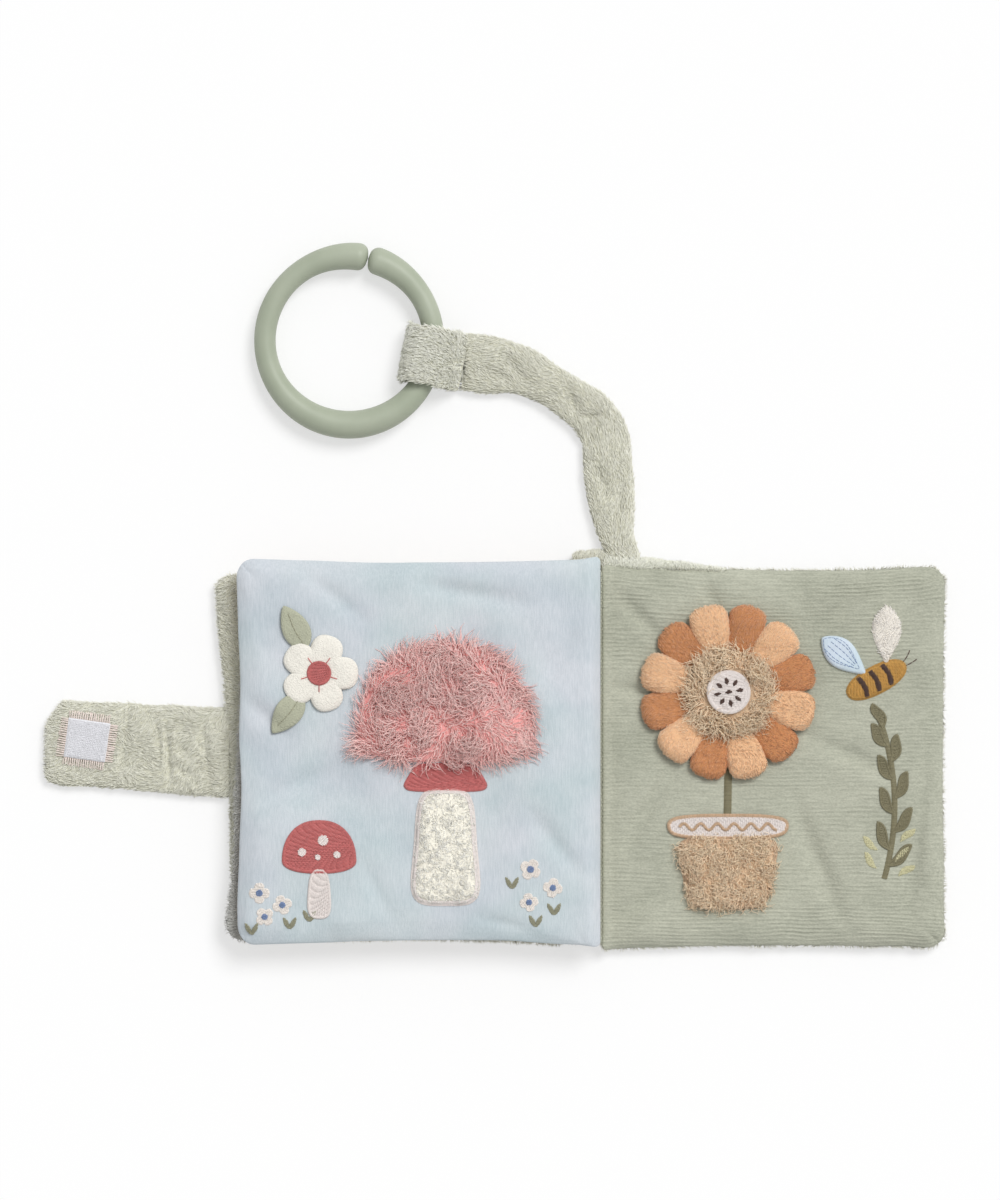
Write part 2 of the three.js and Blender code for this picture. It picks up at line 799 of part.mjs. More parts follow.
function tabRootPieces() {
  const stretch = tabStretch(tabRootX, tabFoldX + layGap / 2, 0);
  const outline = [
    [coverEdgeX(tabEdgeY(stretch.right, -1)) - touchGap, tabEdgeY(stretch.right, -1)],
    [stretch.right, tabEdgeY(stretch.right, 1)],
    [stretch.left, tabEdgeY(stretch.left, 1)],
    [stretch.left, tabEdgeY(stretch.left, -1)],
  ].map(([x, y]) => new THREE.Vector2(x, y));
  const height = tabThickness - 2 * seamHalf;
  return [piece("tab_root", extruded(outline, height), sagePlush, new THREE.Vector3(0, 0, seamHalf))];
}

function tabBasePieces() {
  const stretch = tabStretch(tabFoldX - layGap / 2, tabWrapX + layGap / 2, 0);
  return [
    piece("tab_base_front", tabShell(stretch, 1), sagePlush),
    piece("tab_base_back", tabShell(stretch, -1), sagePlush),
  ];
}

function tabEndPieces() {
  const right = tabWrapX - layGap / 2;
  const stretch = tabStretch(right, right - tabEndLength, tabEndSlant);
  const borderLength = hookPatchLength + 2 * stitchBand;
  const borderWidth = hookPatchWidth + 2 * stitchBand;
  const patchX = stretch.left + hookPatchInset + borderLength / 2;
  const patchY = (tabEdgeY(patchX, 1) + tabEdgeY(patchX, -1)) / 2;
  const middle = new THREE.Vector3(patchX, patchY, tabThickness + touchGap);
  const box = (length, width) =>
    [
      [-length / 2, -width / 2],
      [length / 2, -width / 2],
      [length / 2, width / 2],
      [-length / 2, width / 2],
    ].map(([x, y]) => new THREE.Vector2(x, y));
  const border = extruded(box(borderLength, borderWidth), patchThickness, [
    box(hookPatchLength + 2 * touchGap, hookPatchWidth + 2 * touchGap),
  ]);
  const patch = new THREE.BoxGeometry(hookPatchLength, hookPatchWidth, patchThickness);
  patch.translate(0, 0, patchThickness / 2);
  return [
    piece("tab_end_front", tabShell(stretch, 1), sagePlush),
    piece("tab_end_back", tabShell(stretch, -1), sagePlush),
    piece("hook_patch", patch, hookWhite, middle, patchTurn),
    piece("hook_patch_stitching", border, pinkThread, middle, patchTurn),
  ];
}

// Strap. Its anchor leaves the spine's top end under the blue leaf's corner, and the strap then runs up and
// over to the ring, where its end folds back into a loop.
const anchorMiddle = seamX + anchorInset + anchorWidth / 2;
const anchorFoot = coverDrop + backCoverHeight / 2 + layGap;
const spineTop = coverDrop + coverHeight / 2 + layGap;
const strapRoot = new THREE.Vector2(anchorMiddle, anchorFoot + anchorReach + layGap);
const leafTop = blueLeafRise + blueLeafHeight / 2;
function anchorPieces() {
  const left = -seamX / 2;
  const outline = [
    [left, spineTop],
    [seamX - bindingThickness, spineTop],
    [seamX + layGap, anchorFoot],
    [anchorMiddle + anchorWidth / 2, anchorFoot],
    [anchorMiddle + anchorWidth / 2, anchorFoot + anchorReach],
    [anchorMiddle - anchorWidth / 2, anchorFoot + anchorReach],
    [seamX, leafTop - layGap],
    [left, leafTop - layGap],
  ].map(([x, y]) => new THREE.Vector2(x, y));
  const place = new THREE.Vector3(0, 0, strapFloor);
  return [piece("strap_anchor", extruded(outline, strapThickness), sagePlush, place)];
}

// The strap's middle line as shares of its reach along X and Y from its root, with its width as a share
const strapShares = [
  [0, 0, 0.475],
  [0.044, 0.116, 0.655],
  [0.069, 0.267, 0.8],
  [0.09, 0.43, 0.85],
  [0.103, 0.591, 0.82],
  [0.178, 0.713, 0.8],
  [0.296, 0.797, 0.75],
  [0.452, 0.882, 0.71],
  [0.648, 0.961, 0.85],
  [0.826, 0.987, 0.98],
  [1, 1, 1],
];
const sectionShares = [
  [1, 0],
  [0.82, 0.82],
  [0.35, 1],
  [-0.35, 1],
  [-0.82, 0.82],
  [-1, 0],
  [-0.82, -0.82],
  [-0.35, -1],
  [0.35, -1],
  [0.82, -0.82],
];
const strapStations = 22;
function strapPieces() {
  const middle = strapShares.map(
    ([x, y]) => new THREE.Vector3(strapRoot.x - x * strapReachX, strapRoot.y + y * strapReachY, 0),
  );
  const curve = new THREE.CatmullRomCurve3(middle);
  const stationWidths = strapShares.map(([, , width], i) => new THREE.Vector2(i, width * strapWidth));
  const widths = new THREE.SplineCurve(stationWidths);
  const rings = Array.from({ length: strapStations + 1 }, (_, k) => {
    const share = k / strapStations;
    const at = curve.getPoint(share);
    let along = curve.getTangent(share);
    if (k === 0) along = new THREE.Vector3(0, 1, 0);
    if (k === strapStations) along = loopAlong.clone().negate();
    const across = new THREE.Vector3(along.y, -along.x, 0).normalize();
    const half = widths.getPoint(share).y / 2;
    return sectionShares.map(([u, w]) => {
      const z = strapFloor + (strapThickness / 2) * (1 + w);
      return new THREE.Vector3(at.x + across.x * u * half, at.y + across.y * u * half, z);
    });
  });
  return [piece("strap", ringSolid(rings), sagePlush)];
}

// The ring's middle is placed from the strap's stitch line, and the loop round its section. The ring leans a
// little, because the loop's cloth lifts it on one side and its far side rests on the table.
const stitchX = strapRoot.x - strapReachX;
const stitchY = strapRoot.y + strapReachY;
const loopAlong = new THREE.Vector3(Math.cos(loopTurn), Math.sin(loopTurn), 0);
const loopMiddle = new THREE.Vector3(stitchX, stitchY, 0).addScaledVector(loopAlong, -loopTail - touchGap);
const ringCentre = loopMiddle.clone().addScaledVector(loopAlong, -ringRadius);
const loopHalfTurn = Math.asin(loopWidth / 2 / ringRadius);
const sagitta = ringRadius * (1 - Math.cos(loopHalfTurn));
const boreHalf = ringSection + touchGap;
const boreReach = sagitta + (boreHalf + touchGap) / Math.cos(loopHalfTurn);
const ringHigh = loopWall + boreHalf; // the ring's section above the table, at the loop
const ringLean = Math.asin((ringHigh - ringSection - ringSwell) / (2 * ringRadius));

// The loop is a band round the ring's section: a folded nose on the left, two layers sewn on the right. Its
// bore leaves room for the ring's curve and its slanted section, so that the ring can swing in it.
const boreShoulderShare = 0.7;
function loopPieces() {
  const roof = ringHigh + boreReach;
  const outside = [
    [loopTail, 0],
    [loopTail, loopSeam],
    [boreReach + loopWall, ringHigh + boreHalf * boreShoulderShare],
    [boreHalf * boreShoulderShare, roof + loopWall],
    [-boreReach, roof + loopWall],
    [-loopNose, roof - loopWall],
    [-loopNose, ringHigh],
    [-loopNose + loopWall, 0],
  ].map(([x, y]) => new THREE.Vector2(x, y));
  const inside = [
    [boreReach, loopWall],
    [boreReach, ringHigh + boreHalf * boreShoulderShare],
    [boreHalf * boreShoulderShare, roof],
    [-boreReach, roof],
    [-loopNose + 2 * loopWall, roof - 2 * loopWall],
    [-loopNose + 2 * loopWall, loopWall + boreHalf / 2],
    [-boreReach, loopWall],
  ].map(([x, y]) => new THREE.Vector2(x, y));
  const band = extruded(outside, loopWidth, [inside]);
  band.translate(0, 0, -loopWidth / 2);
  band.rotateX(Math.PI / 2);
  return [piece("strap_loop", band, sagePlush, loopMiddle, loopTurn)];
}

const ringSteps = 44;
const ringSides = 10;
const ringEndShares = [0.35, 0.75, 0.95];
const endSwellPower = 12; // how soon the split end's swelling fades
function ringPieces() {
  const splitTurn = ringSplit / ringRadius;
  const whole = 2 * Math.PI - splitTurn;
  const endTurn = ringSection / ringRadius;
  const stations = Array.from({ length: ringSteps + 1 }, (_, k) => ({
    turn: ringSplitTurn + splitTurn / 2 + endTurn + ((whole - 2 * endTurn) * k) / ringSteps,
    share: 1,
  }));
  const caps = ringEndShares.map((share) => ({ drop: endTurn * share, share: Math.sqrt(1 - share * share) }));
  const first = stations[0].turn;
  const last = stations[ringSteps].turn;
  const all = [
    ...[...caps].reverse().map(({ drop, share }) => ({ turn: first - drop, share })),
    ...stations,
    ...caps.map(({ drop, share }) => ({ turn: last + drop, share })),
  ];
  const rings = all.map(({ turn, share }) => {
    const lower = Math.max(0, -Math.sin(turn)) ** 2;
    const nearEnd = turn < Math.PI ? Math.max(0, Math.cos(turn - ringSplitTurn)) ** endSwellPower : 0;
    const thick = (ringSection + ringSwell * Math.max(lower, nearEnd)) * share;
    return Array.from({ length: ringSides }, (_, s) => {
      const round = (s / ringSides) * 2 * Math.PI;
      const reach = ringRadius + thick * Math.cos(round);
      return new THREE.Vector3(reach * Math.cos(turn), reach * Math.sin(turn), thick * Math.sin(round));
    });
  });
  const geometry = ringSolid(rings);
  const tangent = new THREE.Vector3(-Math.sin(loopTurn), Math.cos(loopTurn), 0);
  geometry.translate(-ringRadius * loopAlong.x, -ringRadius * loopAlong.y, 0);
  geometry.applyMatrix4(new THREE.Matrix4().makeRotationAxis(tangent, -ringLean));
  const place = new THREE.Vector3(loopMiddle.x, loopMiddle.y, ringHigh);
  return [piece("ring", geometry, ringPlastic, place)];
}

// The whole book, body by body
const book = new THREE.Group();
const bodies = {
  front_cover: [...frontCoverPieces(), ...spinePieces(), ...tabRootPieces(), ...anchorPieces()],
  grey_leaf: greyLeafPieces(),
  blue_leaf: [...blueLeafPieces(), ...toadstoolPieces(), ...smallToadstoolPieces(), ...feltFlowerPieces()],
  back_cover: [...backCoverPieces(), sunflowerPieces(), ...potPieces(), beePieces(), ...sprigPieces()],
  tab_base: tabBasePieces(),
  tab_end: tabEndPieces(),
  strap: [...strapPieces(), ...loopPieces()],
  ring: ringPieces(),
};
Object.values(bodies).forEach((pieces) => book.add(new THREE.Group().add(...pieces)));

export default book;
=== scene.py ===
"""Crinkle cloth book for a baby, lying open on a pale table at its last spread, seen from straight above.

Sizes are in millimetres until a mesh is made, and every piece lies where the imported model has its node.
"""

import json
import math

import bpy
import numpy as np
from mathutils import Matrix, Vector
from mathutils.bvhtree import BVHTree


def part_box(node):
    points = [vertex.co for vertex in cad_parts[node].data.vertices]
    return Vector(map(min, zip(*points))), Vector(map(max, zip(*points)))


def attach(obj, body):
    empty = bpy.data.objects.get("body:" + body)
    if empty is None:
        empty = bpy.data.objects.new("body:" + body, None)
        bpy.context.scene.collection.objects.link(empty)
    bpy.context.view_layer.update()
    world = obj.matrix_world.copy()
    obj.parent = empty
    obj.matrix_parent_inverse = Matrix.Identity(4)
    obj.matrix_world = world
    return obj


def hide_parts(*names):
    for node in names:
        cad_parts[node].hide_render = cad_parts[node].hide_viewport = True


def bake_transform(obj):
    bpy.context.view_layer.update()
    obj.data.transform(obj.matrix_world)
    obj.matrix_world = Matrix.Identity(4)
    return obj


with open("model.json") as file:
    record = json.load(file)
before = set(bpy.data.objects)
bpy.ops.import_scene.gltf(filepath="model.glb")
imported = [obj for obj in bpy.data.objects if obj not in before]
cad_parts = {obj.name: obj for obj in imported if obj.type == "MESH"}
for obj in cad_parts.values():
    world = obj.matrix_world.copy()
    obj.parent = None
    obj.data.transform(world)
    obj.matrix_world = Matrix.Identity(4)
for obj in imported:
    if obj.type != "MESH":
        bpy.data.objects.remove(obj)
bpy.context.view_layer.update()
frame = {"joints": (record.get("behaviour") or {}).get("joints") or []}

MM = 0.001
UP = np.array([0.0, 0.0, 1.0])
TINY = 1e-9


# Numbers, noise and curves
def box(*nodes):
    """Lowest and highest corner of one or more nodes, in millimetres."""
    lows, highs = zip(*(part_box(node) for node in nodes))
    return np.min(lows, axis=0) / MM, np.max(highs, axis=0) / MM


def middle_of(node):
    """A node's middle and size, seen from above."""
    low, high = box(node)
    return (low + high)[:2] / 2, (high - low)[:2]


def smooth(t):
    t = np.clip(t, 0, 1)
    return t * t * (3 - 2 * t)


def rounded(distance, roll):
    """How full a rounded edge is at a distance from it: 0 at the edge, and 1 from roll on."""
    return np.sqrt(1 - (1 - np.clip(distance / roll, 0, 1)) ** 2)


def unit(vectors):
    lengths = np.linalg.norm(vectors, axis=-1, keepdims=True)
    return vectors / np.maximum(lengths, TINY)


def noise(x, y, size, seed):
    """Smooth noise between -1 and 1, whose bumps are about size across."""
    cells = 64
    grid = np.random.default_rng(seed).uniform(-1, 1, (cells, cells))
    u, v = np.asarray(x) / size + 31.7, np.asarray(y) / size + 22.3
    i, j = np.floor(u).astype(int), np.floor(v).astype(int)
    a, b = smooth(u - i), smooth(v - j)

    def across(m):
        return grid[i % cells, (j + m) % cells] * (1 - a) + grid[(i + 1) % cells, (j + m) % cells] * a

    return across(0) * (1 - b) + across(1) * b


def turned(points, degrees):
    """Flat points turned round the origin."""
    a = math.radians(degrees)
    return np.asarray(points) @ np.array([[math.cos(a), math.sin(a)], [-math.sin(a), math.cos(a)]])


def turns_round(count):
    return np.arange(count) / count * 2 * math.pi


def squared_round(count, across, tall):
    """Cosine and sine all the way round, each drawn towards its ends by a power below 1."""
    turn = turns_round(count)
    return tuple(np.sign(v) * np.abs(v) ** p for v, p in ((np.cos(turn), across), (np.sin(turn), tall)))


def round_corners(x, y, half, corner):
    """Points of a rectangle round the origin, with those near a corner moved onto its curve."""
    inner = half[0] - corner, half[1] - corner
    a, b = np.abs(x) - inner[0], np.abs(y) - inner[1]
    in_corner = (a > 0) & (b > 0)
    scale = np.where(in_corner, np.maximum(a, b) / np.maximum(np.hypot(a, b), TINY), 1)
    x = np.where(in_corner, np.sign(x) * (inner[0] + a * scale), x)
    return x, np.where(in_corner, np.sign(y) * (inner[1] + b * scale), y)


def spline(points, count):
    """Points along a smooth curve through the given ones."""
    points = np.asarray(points, float)
    padded = np.vstack([2 * points[0] - points[1], points, 2 * points[-1] - points[-2]])
    s = np.linspace(0, len(points) - 1, count)
    i = np.minimum(s.astype(int), len(points) - 2)
    t = (s - i)[:, None]
    a, b, c, d = (padded[i + k] for k in range(4))
    return 0.5 * (2 * b + (c - a) * t + (2 * a - 5 * b + 4 * c - d) * t**2 + (3 * b - a - 3 * c + d) * t**3)


def resample(path, spacing, closed=True):
    """Points spaced evenly along a flat path."""
    path = np.asarray(path, float)
    if closed:
        path = np.vstack([path, path[:1]])
    run = np.concatenate([[0], np.cumsum(np.linalg.norm(np.diff(path, axis=0), axis=1))])
    at = np.linspace(0, run[-1], max(4, int(run[-1] / spacing)), endpoint=not closed)
    return np.column_stack([np.interp(at, run, path[:, k]) for k in (0, 1)])


def creased(points, creases):
    """How far points sink along creases: each has two ends, a depth and a half width."""
    sunk = np.zeros(len(points))
    for start, end, depth, half_width in creases:
        start, line = np.array(start), np.array(end) - np.array(start)
        share = np.clip((points[:, :2] - start) @ line / (line @ line), 0, 1)
        away = np.linalg.norm(points[:, :2] - start - share[:, None] * line, axis=1)
        fade = 0.4 + 0.6 * np.sin(share * math.pi)
        sunk = np.maximum(sunk, depth * fade * np.exp(-((away / half_width) ** 2)))
    return sunk


# Materials
looks = {}  # each look's material and the slot of the pieces that wear it


def srgb(red, green, blue):
    """A colour as the photo shows it, from 0 to 255, as Blender's linear values."""
    parts = np.array([red, green, blue]) / 255
    linear = np.where(parts <= 0.04045, parts / 12.92, ((parts + 0.055) / 1.055) ** 2.4)
    return (*linear, 1.0)


def tinted(colour, *factors):
    """The colour with its channels multiplied: by one factor, or by one each."""
    return (*[min(1.0, c * f) for c, f in zip(colour, factors * 3 if len(factors) == 1 else factors)], 1.0)


class Look:
    """A short way to write a material's node tree."""

    def __init__(self, name, slot, roughness, sheen=0.0, specular=0.25):
        self.material = bpy.data.materials.new(name)
        self.material.use_nodes = True
        self.tree = self.material.node_tree
        self.shader = self.tree.nodes["Principled BSDF"]
        values = {"Roughness": roughness, "Specular IOR Level": specular, "Sheen Weight": sheen,
                  "Sheen Roughness": 0.5}
        for socket, value in values.items():
            self.shader.inputs[socket].default_value = value
        self.place = self.add("TexCoord").outputs["Object"]
        looks[name] = self.material, slot

    def add(self, kind, **inputs):
        node = self.tree.nodes.new("ShaderNode" + kind)
        for name, value in inputs.items():
            self.feed(node.inputs[name], value)
        return node

    def feed(self, socket, value):
        if isinstance(value, bpy.types.NodeSocket):
            self.tree.links.new(value, socket)
        else:
            socket.default_value = value

    def along(self):
        """The value that a mesh keeps at its points: a fibre's length, or a rib's height."""
        node = self.add("Attribute")
        node.attribute_name = "along"
        return node.outputs["Fac"]

    def island(self):
        return self.add("NewGeometry").outputs["Random Per Island"]

    def noise(self, size, stretch=(1, 1, 1), detail=3.0):
        """Noise whose bumps are about size millimetres across, drawn out along an axis by stretch."""
        mapping = self.add("Mapping", Vector=self.place, Scale=[1 / s for s in stretch])
        made = self.add("TexNoise", Vector=mapping.outputs["Vector"], Scale=1 / (size * MM), Detail=detail)
        return made.outputs["Fac"]

    def ramp(self, value, low, high, stops=(0.3, 0.7)):
        """A colour between low and high, as value goes from one stop to the other."""
        made = self.add("ValToRGB", Fac=value)
        for element, stop, colour in zip(made.color_ramp.elements, stops, (low, high)):
            element.position = stop
            element.color = colour
        return made.outputs["Color"]

    def mix(self, share, first, second):
        made = self.add("Mix")
        made.data_type = "RGBA"
        for socket, value in ((0, share), (6, first), (7, second)):
            self.feed(made.inputs[socket], value)
        return made.outputs[2]

    def bump(self, height, depth):
        """Bumps of about depth millimetres."""
        made = self.add("Bump", Height=height, Distance=depth * MM, Strength=1.0)
        self.feed(self.shader.inputs["Normal"], made.outputs["Normal"])

    def colour(self, value):
        self.feed(self.shader.inputs["Base Color"], value)


def plush_look(name, slot, colour, patch, nap, spread):
    """Short pile: brushed patches that are lighter and darker, and a fine tufted nap."""
    look = Look(name, slot, 0.95, sheen=0.25, specular=0.1)
    patches = look.noise(patch, stretch=(1, 1.6, 1), detail=4)
    tufts = look.noise(nap, detail=4)
    base = look.ramp(patches, tinted(colour, 1 - spread), tinted(colour, 1 + spread), (0.35, 0.65))
    fine = look.ramp(tufts, tinted(colour, 0.8), tinted(colour, 1.12), (0.3, 0.65))
    look.bump(tufts, 0.5)
    look.colour(look.mix(0.5, base, fine))


def velour_look(name, slot, colour, brushed, streak, patch):
    """Knitted velour: fine upright knit lines under a nap that is brushed in wide soft patches."""
    look = Look(name, slot, 0.9, sheen=0.3, specular=0.1)
    patches = look.noise(patch, stretch=(1.3, 1, 1), detail=2)
    tints = look.noise(patch * 1.6, detail=1)
    lines = look.noise(streak, stretch=(1, 9, 1), detail=2)
    specks = look.noise(0.35, detail=2)
    base = look.ramp(patches, colour, brushed, (0.34, 0.66))
    lilac, green = tinted(colour, 1.12, 0.98, 1.03), tinted(colour, 0.96, 1.03, 0.94)
    base = look.mix(0.3, base, look.ramp(tints, green, lilac, (0.38, 0.62)))
    fine = look.mix(0.4, lines, specks)
    fine_colour = look.ramp(fine, tinted(colour, 0.85), tinted(brushed, 1.1), (0.38, 0.62))
    look.bump(fine, 0.16)
    look.colour(look.mix(0.26, base, fine_colour))


def ribbed_look(name, slot, colour, light):
    """Gathered muslin: pale crests and dark grooves as painted light and shade, a fine open weave, and
    painted light and shade of soft folds in wide patches.
    """
    look = Look(name, slot, 0.9, sheen=0.15, specular=0.1)
    weave = look.noise(0.55, stretch=(1.6, 1, 1), detail=2)
    threads_across = look.noise(0.7, stretch=(9, 1, 1), detail=2)
    patches = look.noise(24, stretch=(1.4, 1, 1), detail=3)
    # Painted light and shade of the ribs: darker in the grooves and lighter on the crests, by each point's
    # rib height.
    rib = look.ramp(look.along(), tinted(colour, 0.76), tinted(light, 1.2), (0.0, 1.0))
    woven = look.mix(0.45, weave, threads_across)
    fine = look.ramp(woven, tinted(colour, 0.62), tinted(light, 1.34), (0.36, 0.64))
    # Painted light and shade of soft folds, in wide patches.
    broad_light_and_shade = look.ramp(patches, tinted(colour, 0.87), tinted(light, 1.12), (0.33, 0.67))
    look.bump(look.mix(0.5, weave, threads_across), 0.3)
    look.colour(look.mix(0.35, look.mix(0.5, rib, fine), broad_light_and_shade))


def fibre_look(name, slot, root, tip, variety, sheen):
    """Loose fibres: darker at the root as painted shade, paler at the tip as painted light, and no two alike.
    """
    look = Look(name, slot, 0.85, sheen=sheen, specular=0.15)
    # Painted shade and light: the colour darkens from the tip down to the root, where the fibres shade each
    # other.
    base = look.ramp(look.along(), root, tip, (0.0, 0.9))
    varied = look.ramp(look.island(), tinted(root, 1 - variety), tinted(tip, 1 + variety), (0.0, 1.0))
    look.colour(look.mix(0.45, base, varied))


def thread_look(name, slot, colour, variety):
    """Rayon embroidery thread: a soft gloss and a fine twist."""
    look = Look(name, slot, 0.5, sheen=0.1, specular=0.35)
    twist = look.noise(0.25, detail=2)
    dark, light = tinted(colour, 1 - 1.6 * variety), tinted(colour, 1 + 1.2 * variety)
    varied = look.ramp(look.island(), dark, light, (0.0, 1.0))
    fine = look.ramp(twist, tinted(colour, 0.85), tinted(colour, 1.1), (0.35, 0.65))
    look.bump(twist, 0.06)
    look.colour(look.mix(0.3, varied, fine))


def ring_look():
    """Moulded plastic with a fine grain."""
    look = Look("ring_plastic", "ring_plastic", 0.46, specular=0.4)
    look.bump(look.noise(0.5, detail=3), 0.03)
    look.colour(look.ramp(look.noise(14, detail=3), srgb(163, 171, 151), srgb(172, 179, 160), (0.3, 0.7)))


def film_look():
    """Thin clear film that crinkles: glossy, pale and slightly see-through."""
    look = Look("crinkle_film", "crinkle_film", 0.22, specular=0.5)
    look.shader.inputs["Alpha"].default_value = 0.55
    folds = look.noise(3.5, detail=4)
    look.bump(folds, 0.5)
    look.colour(look.ramp(folds, srgb(222, 226, 230), srgb(240, 243, 246)))


# Name, slot, colour, size of the patches, size of the nap, spread of the patches
for row in (
    ("sage_plush", "sage_plush", (205, 204, 186), 9, 0.9, 0.1),
    ("grey_plush", "grey_plush", (166, 166, 161), 9, 1.2, 0.1),
    ("hook_tape", "hook_tape", (238, 238, 242), 5, 0.5, 0.03),
    ("pink_cloth", "pink_fluff", (252, 176, 172), 4, 0.7, 0.1),
    ("cream_fleece", "cream_fleece", (248, 242, 228), 4, 0.8, 0.05),
    ("white_felt", "white_felt", (243, 239, 229), 6, 0.6, 0.03),
    ("sage_felt", "sage_felt", (182, 184, 162), 6, 0.6, 0.05),
    ("rust_velour", "rust_velour", (196, 136, 92), 5, 0.7, 0.1),
    ("peach_velour", "peach_velour", (232, 186, 144), 5, 0.7, 0.1),
    ("tan_cloth", "tan_fluff", (214, 184, 152), 4, 0.7, 0.1),
    ("ochre_velour", "ochre_velour", (196, 150, 80), 4, 0.6, 0.1),
    ("white_plush", "cream_fleece", (236, 230, 220), 4, 0.7, 0.04),
    ("hem_plush", "sage_plush", (216, 217, 202), 9, 0.9, 0.1),
    ("wadding", "wadding", (240, 238, 232), 6, 1.1, 0.05),
):
    plush_look(*row[:2], srgb(*row[2]), *row[3:])

# Name, slot, colour, colour where brushed, size of the streaks, size of the patches
for row in (
    ("blue_velour", "blue_velour", (187, 200, 206), (213, 218, 223), 0.5, 20),
    ("peach_cotton", "peach_cotton", (226, 210, 196), (232, 218, 206), 0.4, 20),
    ("pale_blue_cloth", "pale_blue_cloth", (198, 214, 226), (212, 225, 235), 0.4, 8),
    ("spine_lining", "sage_plush", (167, 170, 153), (183, 184, 168), 0.6, 20),
    ("seam_tape", "sage_plush", (178, 180, 162), (192, 193, 176), 0.5, 6),
):
    velour_look(*row[:2], srgb(*row[2]), srgb(*row[3]), *row[4:])

# Name, slot, colour at the root with painted shade, colour at the tip with painted light, variety, sheen
for row in (
    ("sage_pile", "sage_plush", (218, 217, 199), (252, 251, 238), 0.06, 0.35),
    # loop_pile is sage_pile made paler: painted light on the strap's loop.
    ("loop_pile", "sage_plush", (228, 228, 210), (254, 254, 243), 0.06, 0.35),
    ("hem_pile", "sage_plush", (232, 233, 218), (253, 253, 242), 0.05, 0.2),
    ("grey_pile", "grey_plush", (190, 190, 186), (222, 222, 218), 0.06, 0.2),
    ("pink_fluff", "pink_fluff", (255, 184, 180), (255, 224, 218), 0.06, 0.6),
    ("cream_curl", "cream_fleece", (255, 251, 240), (255, 255, 250), 0.03, 0.2),
    ("rust_pile", "rust_velour", (200, 140, 96), (232, 176, 132), 0.07, 0.2),
    ("peach_pile", "peach_velour", (236, 190, 148), (252, 220, 186), 0.06, 0.2),
    ("tan_fluff", "tan_fluff", (240, 204, 168), (255, 235, 206), 0.08, 0.2),
    ("white_pile", "cream_fleece", (238, 232, 224), (252, 248, 242), 0.03, 0.2),
):
    fibre_look(*row[:2], srgb(*row[2]), srgb(*row[3]), *row[4:])

# Name, slot, colour, variety
for row in (
    ("stitch_thread", "pink_thread", (242, 228, 220), 0.05),
    ("pink_thread", "pink_thread", (238, 220, 212), 0.1),
    ("coral_thread", "coral_thread", (202, 116, 114), 0.1),
    ("off_white_thread", "pale_thread", (238, 230, 226), 0.04),
    ("petal_thread", "pale_thread", (243, 236, 229), 0.05),
    ("blue_thread", "pale_blue_cloth", (128, 148, 186), 0.1),
    ("sage_thread", "olive_thread", (160, 158, 134), 0.1),
    ("tan_thread", "tan_fluff", (208, 178, 148), 0.1),
    ("brown_thread", "ochre_velour", (84, 62, 54), 0.1),
    ("olive_thread", "olive_thread", (140, 134, 106), 0.1),
    ("bud_thread", "pale_thread", (212, 208, 170), 0.1),
    ("ochre_thread", "ochre_velour", (202, 156, 82), 0.1),
    ("seam_thread", "olive_thread", (172, 174, 156), 0.1),
):
    thread_look(*row[:2], srgb(*row[2]), row[3])

ribbed_look("ribbed_sage", "ribbed_sage", srgb(167, 170, 153), srgb(183, 184, 168))
ring_look()
film_look()
for name, worn, slot in (
    ("loop_tape", "hook_tape", "loop_tape"),
    ("rim_edge", "tan_thread", "pale_thread"),
    ("seed_thread", "brown_thread", "rust_velour"),
):
    looks[name] = looks[worn][0], slot


# Meshes
def mesh_piece(name, points, quads, look, rides, *nodes, fill=None, along=None, flat=False):
    """A piece from points in millimetres and faces of four corners.

    rides is its body, or None for a blend. It takes the place of nodes. fill is not used.
    """
    points, quads = np.asarray(points, float).reshape(-1, 3), np.asarray(quads, np.int32)
    data = bpy.data.meshes.new(name)
    data.vertices.add(len(points))
    data.vertices.foreach_set("co", (points * MM).astype(np.float32).ravel())
    data.loops.add(quads.size)
    data.loops.foreach_set("vertex_index", quads.ravel())
    data.polygons.add(len(quads))
    data.polygons.foreach_set("loop_start", np.arange(0, quads.size, 4, dtype=np.int32))
    data.polygons.foreach_set("use_smooth", np.full(len(quads), not flat))
    if along is not None:
        values = data.attributes.new("along", "FLOAT", "POINT").data
        values.foreach_set("value", np.asarray(along, np.float32))
    data.update(calc_edges=True)
    made = bpy.data.objects.new(name, data)
    bpy.context.scene.collection.objects.link(made)
    material, slot = looks[look] if look else (None, None)
    if material:
        data.materials.append(material)
    if rides:
        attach(made, rides)
    if nodes:
        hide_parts(*nodes)
    return made


def grid_quads(rows, columns, around=False):
    """Faces of a grid of points held row by row. around closes each row on itself."""
    i, j = np.meshgrid(np.arange(rows - 1), np.arange(columns if around else columns - 1), indexing="ij")
    a, b = i * columns + j, i * columns + (j + 1) % columns
    return np.stack([a, b, b + columns, a + columns], axis=-1).reshape(-1, 4)


def ringed(name, rings, look, rides, *nodes, fill=None):
    """A piece whose skin is rings of points, and its surface: the points and the faces, turned outwards."""
    points, quads = rings.reshape(-1, 3), grid_quads(*rings.shape[:2], around=True)
    a, b, c, d = (points[quads[:, k]] for k in range(4))
    volume = np.sum(((a + b + c + d) / 4 - points.mean(axis=0)) * np.cross(c - a, d - b))
    quads = quads if volume > 0 else quads[:, ::-1]
    return mesh_piece(name, points, quads, look, rides, *nodes, fill=fill), (points, quads)


